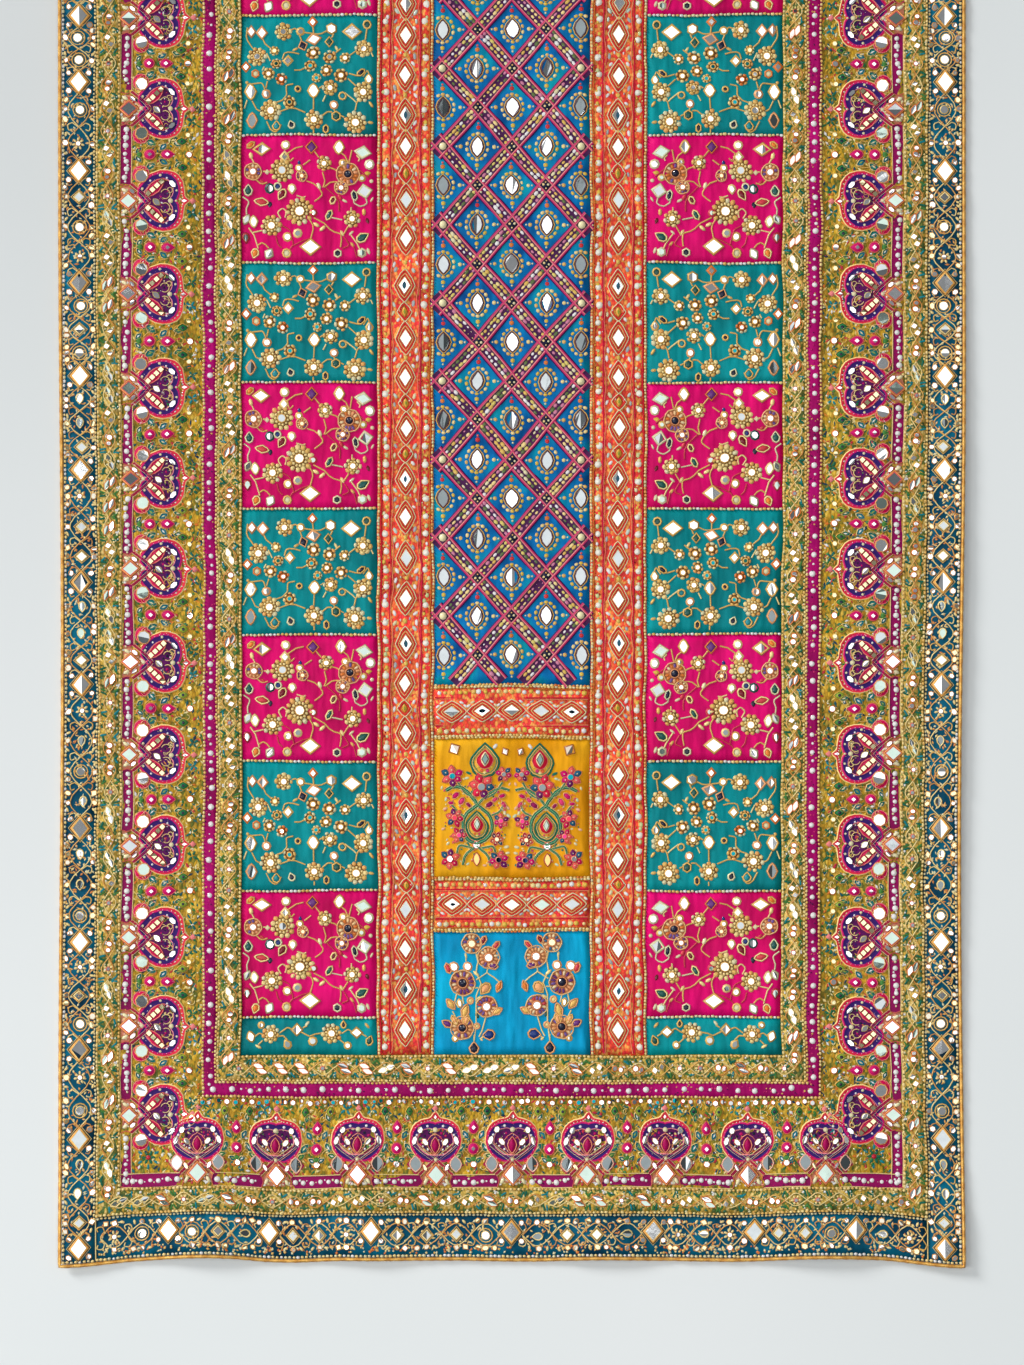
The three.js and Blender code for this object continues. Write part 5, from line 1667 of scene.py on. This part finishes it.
def wide_border():
    """The wide border: loose stitches and chips all over its ground, and arches with fillings between."""
    stitches = [rgb(236, 184, 56), rgb(220, 160, 44), rgb(48, 116, 66), rgb(240, 210, 104), rgb(16, 112, 116),
                rgb(244, 150, 54), rgb(150, 150, 54), rgb(252, 234, 170), rgb(24, 70, 96), rgb(214, 70, 70),
                rgb(236, 184, 56), rgb(250, 216, 130)]
    scraps = (rgb(20, 120, 124), rgb(30, 120, 66), rgb(18, 92, 104), CREAM, rgb(236, 130, 50),
              rgb(24, 56, 84), LEAF, GOLD_LIGHT, WHITE, rgb(90, 150, 80), rgb(210, 50, 70))
    sides, ends = Zone(), Zone()
    side_width, end_width = WIDE - RIBBON, E_WIDE - E_OUTER

    def side_spot(s, t):
        u = 13 + 68 * s
        start = E_OUTER + u * end_width / side_width
        return np.stack([-WIDE + u, start + (LENGTH - 2 * start) * t], -1)

    def end_spot(s, t):
        u = 15 + 73 * s
        reach = WIDE - u * side_width / end_width
        return np.stack([reach * (2 * t - 1), E_OUTER + u], -1)

    for zone, spot, share in ((sides, side_spot, 1.0), (ends, end_spot, 0.36)):
        sprinkled(zone.silk, int(5400 * share), spot, stitches)
        count = int(2300 * share)
        at = spot(rng.random(count), rng.random(count))
        size = rng.uniform(1.0, 1.6, (count, 1)) * (1.0, 1.9)
        tint = drawn(scraps, count)
        loft(zone.silk, DIAMOND, at, size, [(1, 0, 0.2)], tint, rng.uniform(0, np.pi, count), top=1.2)
        gold_curls(zone, spot, int(400 * share))
        count = int(1000 * share)
        at = spot(rng.random(count), rng.random(count))
        chips(zone.beads, at, 0.8, 1.5, (CREAM, WHITE, GOLD_LIGHT), 1.5)
    arches = [side_arch() for _ in range(4)]
    last = LENGTH - SIDE_ARCHES[0]
    along = np.array(SIDE_ARCHES + list(np.linspace(SIDE_ARCHES[-1], last, 12)[1:]))
    for k, v in enumerate(along):
        sides.paste(arches[k % 4], (-WIDE, v), -math.pi / 2)
        if k:
            gap = v - along[k - 1]
            filling = between(gap, (29.5, 47.6), 69, (13.5, 62), *SIDE_BLOCK, 33)
            sides.paste(filling, (-WIDE, v - gap / 2), -math.pi / 2)
    sides.mirrored(across=True)
    arches = [end_arch() for _ in range(3)]
    for k, a in enumerate(END_ARCHES):
        for side in (-1, 1) if a else (1,):
            ends.paste(arches[k % 3], (side * a, E_OUTER + 2))
            if a:
                gap = END_ARCHES[k + 1] - a
                filling = between(gap, (39, 60), 24, (12.5, 76), *END_BLOCK, 31)
                ends.paste(filling, (side * (a + gap / 2), E_OUTER))
    row = jittered(spaced((-RIBBON, E_WIDE - 4), (RIBBON, E_WIDE - 4), 8.2), 0.8)
    size = rng.uniform(1.6, 2.6, (len(row), 1))
    glass(ends, HEXAGON, row, size, 0, [picked((GLASS, GLASS, AQUA, GREY)) for _ in row], ORANGE, 1.0)
    corner_blocks(ends)
    ends.mirrored(along=True)
    finish_zone("side_border", sides, CLOTH)
    finish_zone("end_border", ends, CLOTH)


def corner_blocks(zone):
    """The ribbon that turns each corner of the wide border, and the cord along the mitre."""
    arm, leg = Zone(), Zone()
    block(arm, 2, SIDE_ARCHES[0] - 17 - E_OUTER, 0.1, 11.4)
    block(leg, 0.5, WIDE + END_ARCHES[0] - 15, 0.3, 13.6)
    zone.paste(arm, (-WIDE, E_OUTER), -math.pi / 2, -1)
    zone.paste(leg, (-WIDE, E_OUTER))
    zone.paste(arm, (WIDE, E_OUTER), math.pi / 2)
    zone.paste(leg, (WIDE, E_OUTER), flip=-1)
    for side in (-1, 1):
        bead_line(zone.gold, (side * (RIBBON + 1), E_WIDE - 1), (side * 345, E_OUTER + 52), 3.4, 1.4)
        flower = (side * 363, E_OUTER + 30)
        petals(zone.silk, flower, 4.4, 6, (2, 3.6), GREEN)
        petals(zone.silk, flower, 9.5, 6, (1.6, 3.2), AQUA, phase=0.5)
        beads(zone.beads, [flower], 2.6, rgb(200, 20, 50), base=0.6)
        glass(zone, LENS, [(side * 320, E_OUTER + 67)], (3.6, 5), tint=GLASS, rim=GOLD_MAIN)


# Trims and edges.
def four_sides(side, end):
    """The start and stop of each side of a rectangle, going round it."""
    corners = [(-side, end), (side, end), (side, LENGTH - end), (-side, LENGTH - end)]
    return list(zip(corners, corners[1:] + corners[:1]))


def path_round(side, end, pitch):
    """Evenly spaced points and headings along the four sides of a rectangle, corners left out."""
    out = []
    for start, stop in four_sides(side, end):
        length = math.dist(start, stop)
        inset = 0.5 * pitch
        count = max(1, round((length - 2 * inset) / pitch))
        t = (inset + (length - 2 * inset) * np.arange(count + 1) / count) / length
        heading = math.atan2(stop[1] - start[1], stop[0] - start[0])
        for x in t:
            out.append((start[0] + (stop[0] - start[0]) * x, start[1] + (stop[1] - start[1]) * x, heading))
    return out


def frame_line(zone, side, end, pitch=4.0, radius=1.45, tints=(GOLD_LIGHT, GOLD_MAIN)):
    """A line of beads round all four sides."""
    for start, stop in four_sides(side, end):
        bead_line(zone.gold, start, stop, pitch, radius, tints)


def trim_link(kind, length=21, reach=7.4):
    """A link of a woven trim's chain, its long way along x."""
    motif = Zone()
    t = np.linspace(-1, 1, 9)
    golds, greens = (GOLD_LIGHT, rgb(246, 190, 100), rgb(230, 156, 70)), (GREEN, rgb(16, 110, 90), LEAF, AQUA)
    for side in (-1, 1):
        bow = reach * rng.uniform(0.8, 1.1) * np.cos(np.pi * t / 2) ** 1.2
        cord(motif.gold, np.stack([t * length / 2, side * bow], -1), 1.3, 1.0, picked(golds))
        for end in (-1, 1):
            spot = (end * length * 0.43, side * 6.6)
            petals(motif.silk, spot, 1.2, 2, (1.3, 2.6), picked(greens), rng.uniform(0, 3))
        at = np.stack([rng.uniform(-length / 2, length / 2, 7), side * rng.uniform(2, 10.5, 7)], -1)
        chips(motif.gold, at, 0.9, 1.9, (GOLD_LIGHT, rgb(246, 190, 100), CREAM, WHITE, rgb(40, 110, 80)), 1.2)
    if kind == 0:
        tints = [picked((GLASS, GREY, BLUSH)), picked((GLASS, SEA, BLUSH))]
        glass(motif, LEAF_SHAPE, [(-1.6, 2.7), (1.8, -2.7)], (2.6, 5.4), 1.25, tints, ORANGE, 1.1)
    elif kind == 1:
        glass(motif, OCTAGON, [(-2.6, 0.4), (3.4, -0.6)], [(2.4, 2.6), (1.9, 2.3)], 0, GLASS, ORANGE, 1.1)
    elif kind == 2:
        glass(motif, DIAMOND, [(-4.2, -1.6), (2.6, 1.8)], (2.6, 3.2), 0.2, GLASS, GOLD_MAIN, 0.9)
    elif kind == 3:
        tints = [picked((GLASS, SEA)), picked((GLASS, GREY, BLUSH))]
        glass(motif, LEAF_SHAPE, [(-3.4, -1.4), (3.4, 1.4)], (2.7, 5.0), 1.9, tints, GOLD_LIGHT, 1.1)
    else:
        petals(motif.gold, (0, 0), 3.6, 6, (1.3, 2.0), GOLD_LIGHT)
        # The smoky and NIGHT tints picked here are painted reflections on the mirror.
        glass(motif, HEXAGON, [(0, 0)], 1.9, 0, picked((DARK_REFLECTION, NIGHT, GLASS)), CORAL, 0.9)
    return motif


def trims():
    """The two woven trims' chains, the ribbon's beads, and the bead lines along all their seams."""
    zone = Zone()
    links = [trim_link(kind) for kind in (0, 1, 2, 3, 4, 1, 0, 3, 4, 2)]
    finer = [trim_link(kind, 22, 6.6) for kind in (4, 1, 2, 4, 3, 1, 0, 2)]
    for chain, pitch, side, end in ((finer, 22, (WIDE + OUTER) / 2, (E_TEAL + E_OUTER) / 2),
                                    (links, 21, (INNER + PATCH) / 2, (E_RIBBON + E_INNER) / 2)):
        for a, v, heading in path_round(side, end, pitch):
            zone.paste(picked(chain), (a, v), heading)
    side, end = (RIBBON + INNER) / 2, (E_WIDE + E_RIBBON) / 2
    for k, (a, v, _) in enumerate(path_round(side, end, 9)):
        wide = k % 2 == 0
        at = [(a + rng.normal(0, 0.6), v + rng.normal(0, 0.6))]
        if wide or rng.random() < 0.5:
            low, high = (2.4, 3.2) if wide else (1.2, 1.9)
            beads(zone.beads, at, rng.uniform(low, high), WHITE, sides=8)
        spots = np.array([(a, v)]) + rng.uniform(-5, 5, (3, 2))
        chips(zone.silk, spots, 0.6, 1.4, (ROSE, GOLD_MAIN, rgb(200, 30, 110), rgb(96, 4, 80)))
    for line in ((RIBBON - 1, E_WIDE + 1), (INNER + 1, E_RIBBON - 1), (PATCH + 1.2, E_INNER - 1.2),
                 (INNER - 1.2, E_RIBBON + 1.2), (OUTER - 1.2, E_TEAL + 1.2), (WIDE + 1.2, E_OUTER - 1.2)):
        frame_line(zone, *line)
    finish_zone("trims", zone, CLOTH + LAYER_GAP + TRIM)


def scroll_stone(motif, kind, at):
    """What fills a lobe of the scrolls: a round, diamond or drop mirror, or a small flower."""
    if kind == 0:
        glass(motif, ROUND, at, 3.9, 0, GLASS, GOLD_LIGHT, 1.2)
        loft(motif.gold, ROUND, at, 7, RING, GOLD_MAIN)
    elif kind == 1:
        glass(motif, DIAMOND, at, (4.4, 4.8), 0, picked((GLASS, GREY)), GOLD_LIGHT, 1.3)
        loft(motif.gold, DIAMOND, at, (7, 8), RING, GOLD_MAIN)
    elif kind == 2:
        glass(motif, DROP, at, (3.4, 4.8), math.pi / 2, picked((DARK_REFLECTION, SEA, GLASS)), GOLD_LIGHT, 1.3)
    else:
        petals(motif.gold, at[0], 4.4, 7, (1.4, 2.3), GOLD_LIGHT)
        glass(motif, HEXAGON, at, 2.3, 0, GLASS, GOLD_DEEP, 0.9)


def scroll_edge(motif, spot, stone):
    """A small stone or a gold petal along the edge of the scrolls."""
    if stone or rng.random() < 0.35:
        outline = picked((SEED, DIAMOND, HEXAGON))
        size, turn = rng.uniform(1.8, 3.2, (1, 2)), rng.uniform(0, 3)
        tint = picked((WHITE, CREAM, CREAM, rgb(200, 196, 180)))
        glass(motif, outline, [spot], size, turn, tint, rgb(240, 166, 84), 1.0)
    else:
        petals(motif.gold, spot, 0, 1, (1.5, 2.8), GOLD_LIGHT, rng.uniform(0, 6))


def scroll(length):
    """A stretch of the teal border's gold scrolls, its long way along x."""
    motif = Zone()
    lobes = max(1, round(length / 27))
    t = np.linspace(0, 1, 10 * lobes + 1)
    for side in (-1, 1):
        wave = side * 11 * np.sin(np.pi * lobes * t)
        tint = rgb(240, 180, 96) if side > 0 else GOLD_LIGHT
        cord(motif.gold, np.stack([(t - 0.5) * length, wave], -1), 1.3, 1.1, tint)
        for k in range(lobes + 1):
            x = (k / lobes - 0.5) * length
            curl = [(x + dx, side * y) for dx, y in ((0, 1), (4, 6.5), (1.5, 11), (-3.5, 10), (-2.5, 6.5))]
            tint = picked((GOLD_MAIN, GOLD_LIGHT, rgb(214, 150, 80)))
            cord(motif.gold, curve(curl, 3), 1.3, 1.0, tint)
            if k < lobes:
                for shift in (0.22, 0.5, 0.78):
                    spot = (x + shift * length / lobes + rng.normal(0, 0.6), side * rng.uniform(12.4, 13.8))
                    scroll_edge(motif, spot, shift == 0.5)
    for k in range(lobes):
        at = [(((k + 0.5) / lobes - 0.5) * length, rng.normal(0, 0.8))]
        scroll_stone(motif, rng.integers(0, 4), at)
    count = int(length * 0.95)
    at = np.stack([rng.uniform(-0.5, 0.5, count) * length, rng.uniform(-14.4, 14.4, count)], -1)
    size = np.stack([rng.uniform(0.8, 1.4, count), rng.uniform(1.6, 2.9, count)], -1)
    tint = drawn([GOLD_LIGHT, rgb(240, 176, 90), CREAM, rgb(226, 140, 66), rgb(250, 200, 130)], count)
    loft(motif.gold, DIAMOND, at, size, FLAT, tint, rng.uniform(0, np.pi, count), top=1.1)
    return motif


# Middles of the teal border's diamonds, from the near hem and from the centre line.
SIDE_DIAMONDS = [19, 125, 212, 319, 433, 576, 679, 791, 885, 978, 1090, 1179, 1245]
END_DIAMONDS = [-344, -243, -141, 0]
# The length that a diamond takes from the scrolls beside it.
DIAMOND_ROOM = 22


def teal_border():
    """The teal border: large diamonds with scrolls between them, and bead lines along both seams."""
    zone = Zone()
    middle, end_middle = (OUTER + TEAL) / 2, (E_PIPE + E_TEAL) / 2
    last = LENGTH - SIDE_DIAMONDS[0]
    along = np.array(SIDE_DIAMONDS + list(np.linspace(SIDE_DIAMONDS[-1], last, 12)[1:]))
    for k, v in enumerate(along):
        border_diamond(zone, (-middle, v))
        if k:
            gap = v - along[k - 1]
            zone.paste(scroll(gap - DIAMOND_ROOM), (-middle, v - gap / 2), math.pi / 2)
    zone.mirrored(across=True)
    ends = Zone()
    for k, a in enumerate(END_DIAMONDS):
        for sign in (-1, 1) if a else (1,):
            border_diamond(ends, (sign * a, end_middle + 4))
            if a:
                gap = END_DIAMONDS[k + 1] - a
                ends.paste(scroll(gap - DIAMOND_ROOM), (sign * (a + gap / 2), end_middle + 1))
    for sign in (-1, 1):
        ends.paste(scroll(54), (sign * 384, end_middle + 1))
        cord(ends.gold, [(sign * OUTER, E_PIPE + 2), (sign * OUTER, E_TEAL - 1)], 1.3, 1.0, GOLD_LIGHT)
    count = 420
    x, y = rng.uniform(-OUTER + 3, OUTER - 3, count), rng.uniform(E_PIPE + 4, E_PIPE + 12, count)
    at = np.stack([x, y], -1)
    chips(ends.gold, at, 0.9, 2.0, (GOLD_LIGHT, GOLD_MAIN, CREAM, ORANGE), 1.1)
    ends.mirrored(along=True)
    frame_line(zone, TEAL - 1.4, E_PIPE + 1.4, 4.2, 1.5, (WHITE, CREAM, GOLD_LIGHT))
    frame_line(zone, OUTER + 1.6, E_TEAL - 1.6, 3.8, 1.3, (CREAM, GOLD_LIGHT))
    finish_zone("edge_sides", zone, CLOTH)
    finish_zone("edge_ends", ends, CLOTH)


def border_diamond(zone, at):
    """A large diamond mirror of the teal border in its gold frame, with a small stone at each corner. Under
    the frame lies a diamond darker than the teal ground: painted shade round the gold.
    """
    # Painted shade: a dark teal diamond under the frame, darker than the ground round it.
    loft(zone.silk, DIAMOND, [at], (11.5, 13.5), [(1, 0, 0), (0.97, 0, 0.5)], rgb(4, 44, 66), top=0.5)
    size = np.array((7.7, 9.7))
    loft(zone.gold, DIAMOND, [at], size, [(1, 3.2, 0.3), (1, 1.9, 2.2), (1, 0.3, 1.6)], rgb(246, 176, 84))
    cord(zone.gold, DIAMOND * (size + 4.4) + at, 0.9, 1.3, GOLD_LIGHT, closed=True)
    glass(zone, DIAMOND, [at], size, 0, picked((GLASS, GLASS, GLASS, GLASS, GREY)), GOLD_LIGHT, 0.7, tall=1.8)
    for dx, dy in ((-10, 9), (10, 9), (-10, -9), (10, -9)):
        spot, stone, turn = [(at[0] + dx, at[1] + dy)], rng.uniform(1.9, 2.8, (1, 2)), rng.uniform(0, 1)
        glass(zone, HEXAGON, spot, stone, turn, GLASS, rgb(240, 170, 90), 0.9)


field()
borders()
lattice()
bands()
cross_bands()
patches()
centre_panels()
wide_border()
trims()
teal_border()


# Floor, light and camera.
def floor():
    """The pale table, darker towards the upper left as the camera sees it: painted shade."""
    reach = 9.0
    mesh = bpy.data.meshes.new("floor")
    corners = [(-reach, -reach, 0), (reach, -reach, 0), (reach, reach, 0), (-reach, reach, 0)]
    mesh.from_pydata(corners, [], [(0, 1, 2, 3)])
    m, nodes, links = material("pale_table")
    bsdf = shader(nodes)
    vector = object_coords(nodes, links)
    away = nodes.new("ShaderNodeVectorMath")
    away.operation = "DISTANCE"
    links.new(object_coords(nodes, links, scale=(0.5, 0.5, 1)), away.inputs[0])
    away.inputs[1].default_value = (-0.25, 0.1, 0)
    # Painted shade: the table is darker towards the upper left, nearer this point.
    painted_falloff = ramp(nodes, links, away.outputs["Value"], [(0.1, grey(0.85)), (0.65, grey(0.99))])
    shades = [(0.3, rgb(229, 234, 234)), (0.7, rgb(234, 238, 238))]
    mottled = ramp(nodes, links, noise(nodes, links, vector, 1.5), shades)
    links.new(multiplied(nodes, links, 1.0, mottled, painted_falloff), bsdf.inputs["Base Color"])
    bsdf.inputs["Roughness"].default_value = 0.7
    mesh.materials.append(m)
    plane = bpy.data.objects.new("floor", mesh)
    plane.location.z = -0.0004
    bpy.context.scene.collection.objects.link(plane)


def sun_light(source, strength, spread):
    """Low light from the upper left, which gives the soft shadow along the right edge and the hem."""
    data = bpy.data.lights.new("low_sun", "SUN")
    data.energy, data.angle = strength, spread
    light = bpy.data.objects.new("low_sun", data)
    light.rotation_euler = (-Vector(source)).to_track_quat("-Z", "Y").to_euler()
    bpy.context.scene.collection.objects.link(light)


def area_light(name, place_at, aim, size, power):
    data = bpy.data.lights.new(name, "AREA")
    data.shape = "RECTANGLE"
    data.size, data.size_y = size
    data.energy = power
    light = bpy.data.objects.new(name, data)
    light.location = place_at
    light.rotation_euler = (Vector(aim) - Vector(place_at)).to_track_quat("-Z", "Y").to_euler()
    bpy.context.scene.collection.objects.link(light)


def world():
    w = bpy.data.worlds.new("studio")
    bpy.context.scene.world = w
    w.use_nodes = True
    background = next(n for n in w.node_tree.nodes if n.type == "BACKGROUND")
    background.inputs["Color"].default_value = (0.96, 0.98, 1.0, 1)
    background.inputs["Strength"].default_value = 0.27


# The photo shows a millimetre a pixel: its rows, the near hem's row, and the height of the cloth's face.
PHOTO_ROWS, HEM_ROW, FACE = 1365, 1261, 0.003


def camera():
    data = bpy.data.cameras.new("camera")
    data.lens, data.sensor_width = 100, 36
    eye = bpy.data.objects.new("camera", data)
    away = PHOTO_ROWS / 1000 * data.lens / data.sensor_width
    eye.location = (0.0, (HEM_ROW - PHOTO_ROWS / 2 - MIDDLE) / 1000, away + FACE)
    bpy.context.scene.collection.objects.link(eye)
    bpy.context.scene.camera = eye


floor()
world()
camera()
sun_light(source=(-1.0, 0.75, 0.5), strength=2.5, spread=0.3)
area_light("key", place_at=(-2.2, -1.3, 3.0), aim=(0, -0.8, 0), size=(1.4, 1.4), power=34)
area_light("top", place_at=(0.0, -0.7, 4.4), aim=(0, -0.7, 0), size=(3.0, 3.8), power=51)
bpy.context.scene.view_settings.view_transform = "Standard"
